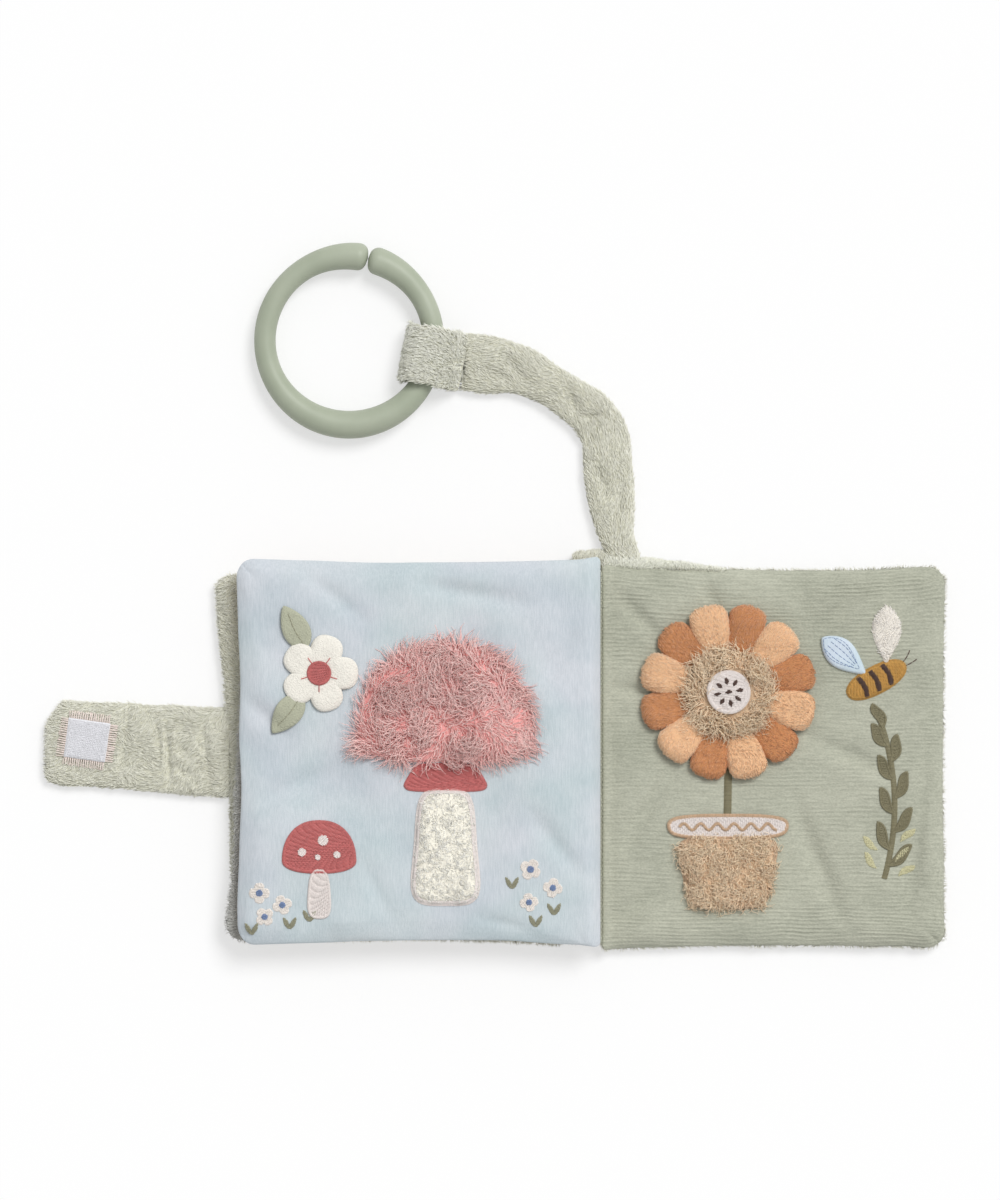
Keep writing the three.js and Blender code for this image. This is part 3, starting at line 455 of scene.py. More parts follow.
def tubes(name, paths, radii, look, rides, *nodes, sides=3):
    """Many thin tubes as one piece. paths is (tubes, stations, 3)."""
    count, stations = paths.shape[:2]
    tangents = unit(np.gradient(paths, axis=1))
    across = unit(np.cross(tangents, np.broadcast_to(UP, tangents.shape)) + 1e-6)
    rise = np.cross(across, tangents)
    turn = turns_round(sides)[:, None]
    radii = np.broadcast_to(radii, (count, stations))[:, :, None, None]
    ring = across[:, :, None] * np.cos(turn) + rise[:, :, None] * np.sin(turn)
    one = grid_quads(stations, sides, around=True)[:, ::-1]
    quads = (one[None] + (np.arange(count) * stations * sides)[:, None, None]).reshape(-1, 4)
    along = np.broadcast_to(np.linspace(0, 1, stations)[None, :, None], (count, stations, sides))
    return mesh_piece(name, paths[:, :, None] + ring * radii, quads, look, rides, *nodes, along=along.ravel())


class Ground:
    """The upper side of some pieces, and the body that what is set on it rides."""

    def __init__(self, rides, *made):
        self.rides = rides
        points, faces = [], []
        for one in made:
            first = len(points)
            points += [v.co / MM for v in one.data.vertices]
            faces += [[first + k for k in p.vertices] for p in one.data.polygons]
        self.tree = BVHTree.FromPolygons(points, faces)

    def height(self, x, y, fallback):
        hit = self.tree.ray_cast(Vector((float(x), float(y), 200.0)), Vector((0, 0, -1)))
        return fallback if hit[0] is None else hit[0].z

    def heights(self, xs, ys, fallback=0.0):
        flat = [self.height(x, y, fallback) for x, y in zip(np.ravel(xs), np.ravel(ys))]
        return np.array(flat).reshape(np.shape(xs))


class FlatGround:
    """A level place to set pieces on."""

    def __init__(self, rides, level):
        self.rides, self.level = rides, level

    def heights(self, xs, ys, fallback=0.0):
        return np.full(np.shape(xs), self.level)


# Fibres on a surface
PRESS_BAND = 1.6  # how far under their room fibres begin to give way


def scatter(points, quads, count, seed):
    """Random places on a surface, with its normals there."""
    rng = np.random.default_rng(seed)
    a, b, c, d = (points[quads[:, k]] for k in range(4))
    normals = np.cross(c - a, d - b)
    area = np.linalg.norm(normals, axis=1)
    pick = rng.choice(len(quads), count, p=area / area.sum())
    s, t = rng.random((2, count, 1))
    place = (a[pick] * (1 - s) + b[pick] * s) * (1 - t) + (d[pick] * (1 - s) + c[pick] * s) * t
    return place, unit(normals[pick])


def flow_field(place, heading, spread, size, seed):
    """Level directions round a heading in degrees, that swing by spread from patch to patch."""
    angle = np.radians(heading + spread * noise(place[:, 0], place[:, 1], size, seed))
    return np.stack([np.cos(angle), np.sin(angle), np.zeros(len(place))], axis=1)


def fibres(place, normal, flow, length, seed, lift, wild, stations, curl, turns, clump, clump_size):
    """Paths of fibres that grow from places on a surface, lean along flow, curl, and gather in clumps."""
    rng = np.random.default_rng(seed)
    count, droop = len(place), 0.4
    flow = unit(flow - np.sum(flow * normal, axis=1, keepdims=True) * normal + 1e-6)
    start = unit(flow * (1 - lift) + normal * lift + rng.normal(0, wild, (count, 3)))
    start = unit(start + normal * np.maximum(0, 0.15 - np.sum(start * normal, axis=1, keepdims=True)))
    length = length * rng.uniform(0.7, 1.15, (count, 1, 1))
    t = np.linspace(0, 1, stations)[None, :, None]
    paths = place[:, None] + length * (t * start[:, None] + droop * t * t * (flow - 0.5 * normal)[:, None])
    if curl:
        side = unit(np.cross(start, UP) + 1e-6)
        up = np.cross(side, start)
        phase = rng.uniform(0, 2 * math.pi, (count, 1, 1)) + 2 * math.pi * turns * t
        wave = np.cos(phase) * side[:, None] + np.sin(phase) * up[:, None]
        paths = paths + curl * np.sin(t * math.pi / 2) * wave
    if clump:
        cell = np.floor(place[:, :2] / clump_size + rng.normal(0, 0.18, (count, 2)))
        jitter = np.stack([noise(cell[:, 0] * 7.3, cell[:, 1] * 3.1, 1.0, seed + k) for k in (1, 2)], axis=1)
        pull = np.zeros((count, 1, 3))
        pull[:, 0, :2] = (cell + 0.5 + 0.4 * jitter) * clump_size - place[:, :2]
        paths = paths + clump * smooth(t) * pull
    return paths


def pile(name, surface, look, rides, count, length, seed, heading, spread, field, keep=None, sunk=0.0,
         room=None, seeds=None, thickness=0.4, lift=0.35, wild=0.22, stations=3, curl=0.0, turns=1.0,
         clump=0.3, clump_size=1.3):
    """Fibres all over a surface, as one piece.

    They lean towards heading, which swings by spread from patch to patch of size field. Both are in degrees,
    or functions of the places. keep(place, normal) chooses among them. room(x) is the height they keep under.
    """
    scatter_seed, flow_seed, fibre_seed = seeds or (seed, seed + 1, seed + 2)
    place, normal = scatter(*surface, count, scatter_seed)
    place = place - sunk * normal
    if keep is not None:
        chosen = keep(place, normal)
        place, normal = place[chosen], normal[chosen]
    heading = heading(place) if callable(heading) else heading
    spread = spread(place) if callable(spread) else spread
    flow = flow_field(place, heading, spread, field, flow_seed)
    paths = fibres(place, normal, flow, length, fibre_seed, lift, wild, stations, curl, turns, clump,
                   clump_size)
    if room is not None:
        top = room(paths[..., 0])
        over = np.maximum(paths[..., 2] - top + PRESS_BAND, 0)
        paths[..., 2] = np.where(over > 0, top - PRESS_BAND * np.exp(-over / PRESS_BAND), paths[..., 2])
    paths[..., 2] = np.maximum(paths[..., 2], 0.12)
    t = np.linspace(0, 1, stations)[None, :]
    return tubes(name, paths, thickness / 2 * (0.25 + 0.75 * (1 - t**2)), look, rides)


def fluff(name, surface, look, rides, count, length, seed, middle=None, heading=None, inner=0.0, **more):
    """Loose fibres that stand out from a filled piece and part in locks, away from middle if it is given."""

    def keep(place, normal):
        on_top = normal[:, 2] > 0.1
        return on_top if middle is None else on_top & (np.linalg.norm(place[:, :2] - middle, axis=1) > inner)

    def outward(place):
        return np.degrees(np.arctan2(*(place[:, :2] - middle).T[::-1]))

    return pile(name, surface, look, rides, count=count, length=length, seed=seed,
                heading=outward if middle is not None else heading, keep=keep, sunk=0.2, **more)


# Panels: each is two cloths, sewn together along the edge round soft filling
PANEL_CORNER = 8.0
ROOT_CORNER = 2.2
PANEL_PINCH = 1.2  # how far the sides are drawn in between the corners
PANEL_ROLL = 10.0  # how far in from a sewn edge the filling makes the panel full
SEAM_HALF = 0.25
WAVE = 0.6  # how far a sewn edge wanders in and out
SOFT = 1.1  # how far the padded face rises and sinks
WRINKLES = 0.62  # how far its smaller wrinkles do
RIB_PITCH = 1.6  # from crest to crest of the gathered page
RIB_DEPTH = 0.17
PANEL_SPACING = 1.2  # of the panels' points
SIM_SPACING = 3.4  # of the simulated cloths' points
SIM_FRAMES = 20
SIM_CAP = 0.9  # the most that the simulation may move a point


class Panel:
    """A page's or cover's outline and thickness, from its nodes' box. lean is how far its free edge leans."""

    def __init__(self, over, under, root_z, root_roll=5.0, root_reach=0.6, lean=0.0, out=-1, seed=0,
                 patch=None, folds=(), raised=0.0, grow=0.0):
        low, high = box(over, under)
        self.nodes = (over, under)
        self.middle = (low + high)[:2] / 2 - [out * (root_reach - grow + abs(lean)) / 2, 0]
        self.half = (high - low)[:2] / 2 - [(abs(lean) - root_reach - grow) / 2, 0]
        self.low, self.high = low[2] + raised, high[2]
        self.root_z, self.root_roll = root_z, root_roll
        self.lean, self.out, self.seed, self.patch, self.folds = lean, out, seed, patch, folds

    def plain(self, columns, rows):
        """Points of a grid that crowds towards the edges, on the plain rectangle."""
        crowd = 0.75
        s, t = (np.linspace(-1, 1, n) for n in (columns, rows))
        s, t = (crowd * np.sin(a * math.pi / 2) + (1 - crowd) * a for a in (s, t))
        return np.meshgrid(s * self.half[0], t * self.half[1])

    def outline(self, x, y):
        """Plain points moved to the real outline: round corners, a leaning free edge, drawn-in sides."""
        x, y = round_corners(x, y, self.half, np.where(np.sign(x) == self.out, PANEL_CORNER, ROOT_CORNER))
        u, v = x / self.half[0], y / self.half[1]
        outer = (1 + self.out * u) / 2
        moved_x = x + self.out * (self.lean * v - PANEL_PINCH * (1 - v * v)) * outer
        return moved_x + self.middle[0], y - PANEL_PINCH * v * (1 - u * u) + self.middle[1]

    def floor(self, x, y):
        """The lowest that the under cloth may lie: it comes down to a patch that is sewn under it."""
        if self.patch is None:
            return np.full(np.shape(x), self.low)
        low, high = box(self.patch)
        inside = smooth((x - low[0] + 2) / 2) * smooth((high[0] + 2 - x) / 2)
        inside = inside * smooth((y - low[1] + 2) / 2) * smooth((high[1] + 2 - y) / 2)
        return self.low + (high[2] + 0.1 - self.low) * inside


def simulated_swell(points, quads):
    """How far each point of a closed mesh moves when its filling swells it, up to a limit."""
    made = mesh_piece("swelling", points, quads, None, None)
    cloth = made.modifiers.new("cloth", "CLOTH")
    for name, value in (
        ("quality", 5),
        ("mass", 0.2),
        ("tension_stiffness", 18),
        ("compression_stiffness", 18),
        ("shear_stiffness", 6),
        ("bending_stiffness", 0.4),
        ("shrink_min", -0.04),
        ("use_pressure", True),
        ("uniform_pressure_force", 4.0),
    ):
        setattr(cloth.settings, name, value)
    cloth.settings.effector_weights.gravity = 0
    cloth.collision_settings.use_collision = False
    cloth.point_cache.frame_start = 1
    cloth.point_cache.frame_end = SIM_FRAMES
    for step in range(1, SIM_FRAMES + 1):
        bpy.context.scene.frame_set(step)
    bpy.context.view_layer.update()
    solved = made.evaluated_get(bpy.context.evaluated_depsgraph_get()).to_mesh()
    co = np.zeros(len(solved.vertices) * 3, np.float32)
    solved.vertices.foreach_get("co", co)
    moved = co.reshape(-1, 3) / MM - points
    moved -= moved.mean(axis=0)
    made.evaluated_get(bpy.context.evaluated_depsgraph_get()).to_mesh_clear()
    bpy.data.objects.remove(made)
    bpy.context.scene.frame_set(1)
    length = np.linalg.norm(moved, axis=1, keepdims=True)
    return moved * SIM_CAP * np.tanh(length / SIM_CAP) / np.maximum(length, TINY)


def resampled(field, columns, rows):
    """A coarse grid of values read at a finer grid's points, both over the same crowded square."""
    old_rows, old_columns = field.shape[:2]
    s, t = np.linspace(0, old_columns - 1, columns), np.linspace(0, old_rows - 1, rows)
    i, j = np.minimum(s.astype(int), old_columns - 2), np.minimum(t.astype(int), old_rows - 2)
    a, b = smooth(s - i)[None, :, None], smooth(t - j)[:, None, None]
    low, high = (field[row][:, i] * (1 - a) + field[row][:, i + 1] * a for row in (j, j + 1))
    return low * (1 - b) + high * b


def rib_wave(x, y, seed):
    """The gathered cloth's ribs, from -1 in a groove to 1 on a crest, uneven as in a hand-woven muslin."""
    shift = 1.8 * noise(x, y, 34, seed + 7) + 0.5 * noise(x * 0.6, y, 6, seed + 8)
    strength = 0.6 + 0.6 * noise(x * 0.15, y, 3.1, seed + 9) + 0.35 * noise(x, y, 7, seed + 10)
    turn = 2 * math.pi * (y + shift) / RIB_PITCH
    return strength * (np.cos(turn) + 0.25 * np.cos(2 * turn + 0.6)) / 1.25


def held_down(to_root):
    """How freely a face rises and sinks at a distance from its root, where the spine's seam holds it down."""
    return 0.15 + 0.85 * smooth(to_root / 26)


def panel_points(panel, columns, rows, side, ribs=0.0):
    """The upper or under cloth of a panel as a grid of points."""
    x, y = panel.plain(columns, rows)
    to_free, to_root = panel.half[0] - panel.out * x, panel.half[0] + panel.out * x
    to_side = panel.half[1] - np.abs(y)
    full = rounded(to_free, PANEL_ROLL) * rounded(to_root, panel.root_roll) * rounded(to_side, PANEL_ROLL)
    seed = panel.seed
    wander_x = WAVE * np.exp(-to_free / 12) * panel.out * noise(y, x * 0.1, 21, seed)
    wander_y = WAVE * np.sign(y) * np.exp(-to_side / 12) * noise(x, y * 0.1 + 50, 24, seed + 1)
    flat_x, flat_y = panel.outline(x, y)
    flat_x, flat_y = flat_x + wander_x, flat_y + wander_y
    middle, half = (panel.low + panel.high) / 2, (panel.high - panel.low) / 2
    base = middle + (panel.root_z - middle) * smooth(1 - to_root / panel.root_roll) ** 2
    puckers = np.exp(-to_side / 4) * noise(x, y * 0.2, 4.2, seed + 2)
    puckers = puckers + np.exp(-to_free / 4) * noise(y, x * 0.2, 4.2, seed + 3)
    wrinkles = noise(x + 0.5 * y, y * 0.4, 13, seed + 4) + noise(x * 0.5 - y, x, 17, seed + 5)
    soft = held_down(to_root) * (SOFT * noise(x, y, 30, seed + 6) + WRINKLES * wrinkles)
    if side > 0 and panel.folds:
        soft = soft - creased(np.column_stack([flat_x.ravel(), flat_y.ravel()]), panel.folds).reshape(x.shape)
    z = base + side * (SEAM_HALF + (half - SEAM_HALF) * full)
    z = z + full * soft * (1 if side > 0 else 0.3) + 0.25 * puckers * np.minimum(full * 3, 1)
    if ribs:
        z = z + full * ribs * rib_wave(x, y, seed)
    if side < 0:
        z = np.maximum(z, panel.floor(flat_x, flat_y))
    return np.stack([flat_x, flat_y, z], axis=-1)


def panel_swell(panel):
    """The simulated movement of both cloths, as coarse grids."""
    columns, rows = (int(2 * h / SIM_SPACING) for h in panel.half)
    both = np.concatenate([panel_points(panel, columns, rows, side).reshape(-1, 3) for side in (1, -1)])
    count = rows * columns
    index = np.arange(count).reshape(rows, columns)
    below = index + count
    for rim in (np.s_[0, :], np.s_[-1, :], np.s_[:, 0], np.s_[:, -1]):
        below[rim] = index[rim]
    top_quads, below = grid_quads(rows, columns), below.ravel()
    moved = simulated_swell(both, np.concatenate([top_quads, below[top_quads][:, ::-1]]))
    return moved[:count].reshape(rows, columns, 3), moved[below].reshape(rows, columns, 3)


def make_panel(panel, over_look, under_look, body, ribs=0.0):
    """Both cloths of a panel, replacing its two shells."""
    columns, plain_rows = (int(2 * h / PANEL_SPACING) for h in panel.half)
    ribbed_rows = int(2 * panel.half[1] / (RIB_PITCH / 5))
    swell = panel_swell(panel)
    made = []
    for k, (side, look) in enumerate(((1, over_look), (-1, under_look))):
        ribbed = bool(ribs) and side > 0
        rows = ribbed_rows if ribbed else plain_rows
        points = panel_points(panel, columns, rows, side, ribs if ribbed else 0.0)
        x, y = panel.plain(columns, rows)
        if swell is not None:
            moved = resampled(swell[k], columns, rows)
            to_root = panel.half[0] + panel.out * x
            moved[..., :2] *= smooth(to_root / 9)[..., None]
            moved[..., 2] *= held_down(to_root)
            points = points + moved
            if side < 0:
                points[..., 2] = np.maximum(points[..., 2], panel.floor(points[..., 0], points[..., 1]))
        # Each point's rib height, which the ribbed look turns into painted shade in the grooves and painted
        # light on the crests.
        along = 0.5 + 0.5 * rib_wave(x, y, panel.seed).ravel() if ribbed else None
        quads = grid_quads(rows, columns)[:, ::side]
        node = panel.nodes[k]
        made.append(mesh_piece(node + "_cloth", points, quads, look, body, node, fill=0.5, along=along))
    return made


# Soft folds in the two open pages: two ends, depth and half width
BLUE_FOLDS = [
    ((-131.0, 22.0), (-113.0, 8.0), 1.5, 3.6),
    ((-62.0, 66.0), (-22.0, 58.0), 1.4, 3.8),
    ((-4.0, 44.0), (-24.0, 18.0), 1.6, 4.0),
    ((-122.0, -16.0), (-98.0, -6.0), 1.4, 3.4),
    ((-20.0, -22.0), (-2.0, -44.0), 1.4, 3.6),
    ((-104.0, 68.0), (-84.0, 52.0), 1.2, 3.2),
    ((-84.0, -40.0), (-74.0, -62.0), 1.1, 3.0),
    ((-40.0, -62.0), (-22.0, -66.0), 1.1, 3.0),
]
RIBBED_FOLDS = [
    ((14.0, 60.0), (30.0, 44.0), 1.9, 3.2),
    ((12.0, 26.0), (26.0, 24.0), 1.5, 2.6),
    ((84.0, 8.0), (120.0, -8.0), 1.8, 3.4),
    ((88.0, 44.0), (108.0, 64.0), 1.6, 3.2),
    ((34.0, -6.0), (16.0, -34.0), 1.8, 3.4),
    ((80.0, -18.0), (98.0, -62.0), 1.9, 3.6),
    ((132.0, 4.0), (124.0, -60.0), 1.6, 3.4),
    ((50.0, 56.0), (46.0, 70.0), 1.2, 2.6),
    ((28.0, -52.0), (12.0, -62.0), 1.4, 3.0),
]

front_cover = Panel("front_cover_inner", "front_cover_outer", root_z=3.0, root_roll=10.0, root_reach=-0.6,
                    lean=3.8, seed=11, raised=0.9)
grey_leaf = Panel("grey_leaf_front", "grey_leaf_back", root_z=11.6, root_reach=-1.0, lean=-3.6, seed=23,
                  grow=2.4)
blue_leaf = Panel("blue_leaf_front", "blue_leaf_back", root_z=13.4, root_roll=6.0, root_reach=0.8, seed=37,
                  folds=BLUE_FOLDS)
back_cover = Panel("back_cover_inner", "back_cover_outer", root_z=7.6, root_roll=6.0, root_reach=0.7, out=1,
                   seed=53, patch="loop_patch", folds=RIBBED_FOLDS, raised=0.9)

cover_inner, cover_outer = make_panel(front_cover, "sage_plush", "sage_plush", "front_cover")
grey_front, grey_back = make_panel(grey_leaf, "grey_plush", "grey_plush", "grey_leaf")
blue_page, _ = make_panel(blue_leaf, "blue_velour", "peach_cotton", "blue_leaf")
ribbed_page, back_outer = make_panel(back_cover, "ribbed_sage", "sage_plush", "back_cover", ribs=RIB_DEPTH)


# Ring, and the strap's end folded round it
RING_HUB = np.array(next(j for j in frame["joints"] if j["name"] == "ring_swing")["pos_m"]) / MM
RING_RADIUS = 32.2
RING_SECTION = 4.1
RING_SWELL = 1.2
RING_SPLIT_TURN = math.radians(77)
RING_REST = 5.4  # height of the section's middle where the ring lies on the table
LOOP_TURN = -11.0
LOOP_WIDTH = 21.6
LOOP_WALL = 1.5
# The loop's middle line seen from the side
LOOP_LINE = [
    (12.0, 4.3),
    (9.6, 6.2),
    (7.2, 9.6),
    (3.6, 12.4),
    (-1.5, 13.4),
    (-6.4, 12.6),
    (-9.4, 9.6),
    (-9.9, 5.6),
    (-8.6, 2.4),
    (-4.5, 1.1),
    (4.0, 1.1),
    (12.0, 1.6),
]


def make_ring():
    along = np.array([*turned([1, 0], LOOP_TURN), 0])
    lean = (RING_HUB[2] - RING_REST) / (2 * RING_RADIUS)
    cap_steps, bluntness = 10, 2.3
    end_turn, split = RING_SECTION / RING_RADIUS, 0.06 / RING_RADIUS
    first = RING_SPLIT_TURN + split + end_turn
    last = RING_SPLIT_TURN + 2 * math.pi - split - end_turn
    cap = np.linspace(1, 0, cap_steps, endpoint=False)
    turns = np.concatenate([first - end_turn * cap, np.linspace(first, last, 180),
                            last + end_turn * cap[::-1]])
    shares = np.ones(len(turns))
    shares[:cap_steps] = (1 - cap**bluntness) ** (1 / bluntness)
    shares[-cap_steps:] = shares[:cap_steps][::-1]
    lower = np.maximum(0, -np.sin(turns)) ** 2
    near = np.maximum(0, np.cos(turns - RING_SPLIT_TURN)) ** 6
    thick = ((RING_SECTION + RING_SWELL * np.maximum(lower, near)) * shares + 0.02)[:, None]
    around, turns = turns_round(28), turns[:, None]
    reach = RING_RADIUS + thick * np.cos(around)
    rings = np.stack([reach * np.cos(turns), reach * np.sin(turns), thick * np.sin(around)], axis=-1)
    rings -= RING_RADIUS * along
    rings[..., 2] += rings @ along * lean
    ringed("ring_moulding", rings + RING_HUB, "ring_plastic", "ring", "ring")


def make_loop():
    hub = RING_HUB[:2]
    line = spline(LOOP_LINE, 90)
    tangent = unit(np.gradient(line, axis=0))
    out = np.stack([tangent[:, 1], -tangent[:, 0]], axis=1)
    across, thick = squared_round(44, 0.45, 0.8)
    section = line[:, None] + out[:, None] * (LOOP_WALL / 2 * thick)[None, :, None]
    across = np.broadcast_to(LOOP_WIDTH / 2 * across, section.shape[:2])
    rings = np.stack([section[..., 0], across, section[..., 1]], axis=-1)
    rings[..., 1] *= 1 + 0.02 * noise(rings[..., 0], rings[..., 2], 5, 81)
    rings[..., :2] = turned(rings[..., :2], LOOP_TURN) + hub
    _, surface = ringed("strap_loop_cloth", rings, "sage_plush", "strap", "strap_loop", fill=0.3)

    def on_outside(place, normal):
        outward = (place[:, :2] - hub) @ turned([1, 0], LOOP_TURN) * normal[:, 0]
        above = (normal[:, 2] > 0.05) & (place[:, 2] > 4)
        below = (normal[:, 2] < -0.1) & (place[:, 2] < 2.2)
        return above | below | (outward > 4)

    # The loop wears a paler copy of the strap's pile: painted light.
    pile("strap_loop_pile", surface, "loop_pile", "strap", count=12000, length=1.8, seed=82,
         heading=180 + LOOP_TURN, spread=30, field=5, keep=on_outside, thickness=0.42, lift=0.38, wild=0.2,
         clump_size=1.2)


# Strap
STRAP_ROOT = (14.9, 77.4)
STRAP_THICKNESS = 5.0
STRAP_FLOOR = 0.6
STRAP_REACH = (-61.5, 72.8)
STRAP_WIDTH = 23.4
# The middle line as shares of the reach, and the width as a share of the full one
STRAP_SHARES = [
    (-0.01, -0.06, 0.56),
    (0, 0, 0.56),
    (0.044, 0.116, 0.655),
    (0.069, 0.267, 0.8),
    (0.09, 0.43, 0.85),
    (0.103, 0.591, 0.82),
    (0.178, 0.713, 0.8),
    (0.296, 0.797, 0.75),
    (0.452, 0.882, 0.71),
    (0.648, 0.961, 0.85),
    (0.826, 0.987, 0.98),
    (0.985, 1.002, 1),
]
# Creases: two ends, depth and half width
STRAP_CREASES = [
    ((-6.4, 142.0), (-2.4, 131.0), 2.0, 2.2),
    ((-1.4, 129.5), (7.1, 129.0), 1.9, 1.9),
    ((6.0, 128.0), (0.6, 119.0), 1.8, 2.0),
    ((-30.5, 152.0), (-20.5, 142.0), 1.7, 2.6),
    ((-46.5, 161.0), (-46.0, 139.5), 2.2, 1.4),
    ((-38.0, 147.0), (-27.0, 144.0), 1.2, 2.2),
    ((4.0, 112.0), (9.5, 98.0), 1.5, 2.2),
    ((14.5, 104.0), (12.5, 90.0), 1.2, 1.8),
]


def soft_tube(middle, half_width, floor, thickness, around=56, seed=0, edge=0.35):
    """A flattened tube of cloth along a level line: rings of points with slightly wandering sides."""
    along = unit(np.gradient(middle, axis=0))
    across = np.stack([along[:, 1], -along[:, 0]], axis=1)
    u, w = squared_round(around, 2 / 2.6, 2 / 2.6)
    wander = edge * noise(middle[:, 0][:, None] + 9 * np.sign(u), middle[:, 1][:, None], 7, seed)
    reach = half_width[:, None] * u + wander * u
    rings = np.zeros((len(middle), around, 3))
    rings[..., :2] = middle[:, None] + across[:, None] * reach[..., None]
    lumps = 0.45 * noise(rings[..., 0], rings[..., 1], 8, seed + 1)
    top = thickness / 2 * (1 + w * (1 + 0.18 * lumps * (w > 0)))
    rings[..., 2] = floor + top + 0.5 * lumps * np.maximum(w, 0)
    return rings


def make_strap():
    table = spline(STRAP_SHARES, 200)
    middle = STRAP_ROOT + table[:, :2] * STRAP_REACH
    tangent = np.gradient(middle, axis=0)
    rings = soft_tube(middle, table[:, 2] * STRAP_WIDTH / 2 - 0.9, floor=STRAP_FLOOR,
                      thickness=STRAP_THICKNESS, seed=71)
    sunk = creased(rings.reshape(-1, 3), STRAP_CREASES).reshape(rings.shape[:2])
    rings[..., 2] -= sunk * np.clip((rings[..., 2] - STRAP_FLOOR) / STRAP_THICKNESS, 0, 1)
    body, surface = ringed("strap_cloth", rings, "sage_plush", None, "strap", fill=0.4)

    def heading(place):
        nearest = np.argmin(np.linalg.norm(place[:, None, :2] - middle[None, ::4], axis=2), axis=1) * 4
        return np.degrees(np.arctan2(tangent[nearest, 1], tangent[nearest, 0]))

    nap = pile("strap_pile", surface, "sage_pile", None, count=12000, length=1.6, seed=72, heading=heading,
               spread=40, field=7, thickness=0.42, lift=0.3, wild=0.2, clump=0.35)
    for piece in (body, nap):
        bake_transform(piece)


make_ring()
make_strap()
make_loop()


# Closure tab: two stretches of plush, each bending across one of its two folds
TAB_THICKNESS = 6.0
TAB_MIDDLE = (0.95, 5.2)  # its middle line's height on the page at the cover, and at the free end
TAB_WIDTH = (35.0, 32.6)
TAB_JOIN_X = -155.5
TAB_RIGHT_X = -135.5
# Creases: two ends, depth and half width
TAB_CREASES = [
    ((-159.5, 11.0), (-158.0, -10.0), 1.6, 1.6),
    ((-156.0, 8.0), (-151.0, 12.5), 1.5, 1.5),
    ((-156.5, 1.0), (-149.0, 3.5), 1.6, 1.5),
    ((-156.0, -5.0), (-150.0, -7.0), 1.4, 1.5),
    ((-163.0, 12.0), (-162.0, 2.0), 1.3, 1.6),
    ((-146.0, 13.0), (-143.0, -12.0), 1.4, 2.2),
    ((-174.0, 18.0), (-177.0, -6.0), 1.1, 1.8),
]
PATCH_MIDDLE = np.array([-189.87, 5.86])
PATCH_TURN = -8.0
PATCH_HALF = np.array([8.0, 7.5])
STITCH_BAND = 3.2  # how far the stitches reach out from the patch
STITCH_SPACING = 0.42
HOOK_PITCH = 0.62


def tab_rings(x_values, seed=91):
    """Rings of points round the tab's section at each X."""
    left = box("tab_end_front", "tab_end_back")[0][0]
    share = (TAB_RIGHT_X - x_values) / (TAB_RIGHT_X - left)
    middle_y = TAB_MIDDLE[0] + (TAB_MIDDLE[1] - TAB_MIDDLE[0]) * share
    half = (TAB_WIDTH[0] + (TAB_WIDTH[1] - TAB_WIDTH[0]) * share) / 2 - 0.7
    to_end = x_values - left
    top = middle_y + half - 10.5 * np.clip(1 - to_end / 7.5, 0, 1) ** 1.5
    foot = middle_y - half + 3.2 * (1 - rounded(to_end, 3.2))
    u, w = squared_round(56, 2 / 3.2, 2 / 3.2)
    wander = 0.45 * noise(x_values[:, None], 9 * np.sign(u)[None, :], 8, seed)
    rings = np.zeros((len(x_values), 56, 3))
    rings[..., 0] = x_values[:, None]
    rings[..., 1] = ((top + foot) / 2)[:, None] + (((top - foot) / 2)[:, None] + wander) * u
    lumps = 0.4 * noise(rings[..., 0], rings[..., 1], 9, seed + 1)
    full = TAB_THICKNESS - 0.9
    high = full * (0.35 + 0.65 * rounded(to_end, 4.5))[:, None]
    rings[..., 2] = (full - high) / 2 + high / 2 * (1 + w) + lumps * np.maximum(w, 0)
    sunk = 1.35 * creased(rings.reshape(-1, 3), TAB_CREASES).reshape(rings.shape[:2])
    rings[..., 2] -= sunk * np.clip(rings[..., 2] / TAB_THICKNESS, 0, 1)
    rings[..., 2] = np.maximum(rings[..., 2], 0.15)
    return rings


def beside_patch(place, normal):
    local = turned(place[:, :2] - PATCH_MIDDLE, -PATCH_TURN)
    return ~(np.all(np.abs(local) < PATCH_HALF + 0.2, axis=1) & (normal[:, 2] > 0.3))


def make_tab_stretch(name, x_values, nodes, count, seed):
    body, surface = ringed(name + "_cloth", tab_rings(x_values), "sage_plush", None, *nodes, fill=0.4)
    nap = pile(name + "_pile", surface, "sage_pile", None, count=count, length=1.7, seed=seed, heading=195,
               spread=75, field=8, keep=beside_patch, seeds=(seed, 93, seed), thickness=0.42, lift=0.3,
               clump=0.35, clump_size=1.4)
    for piece in (body, nap):
        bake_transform(piece)
    return body


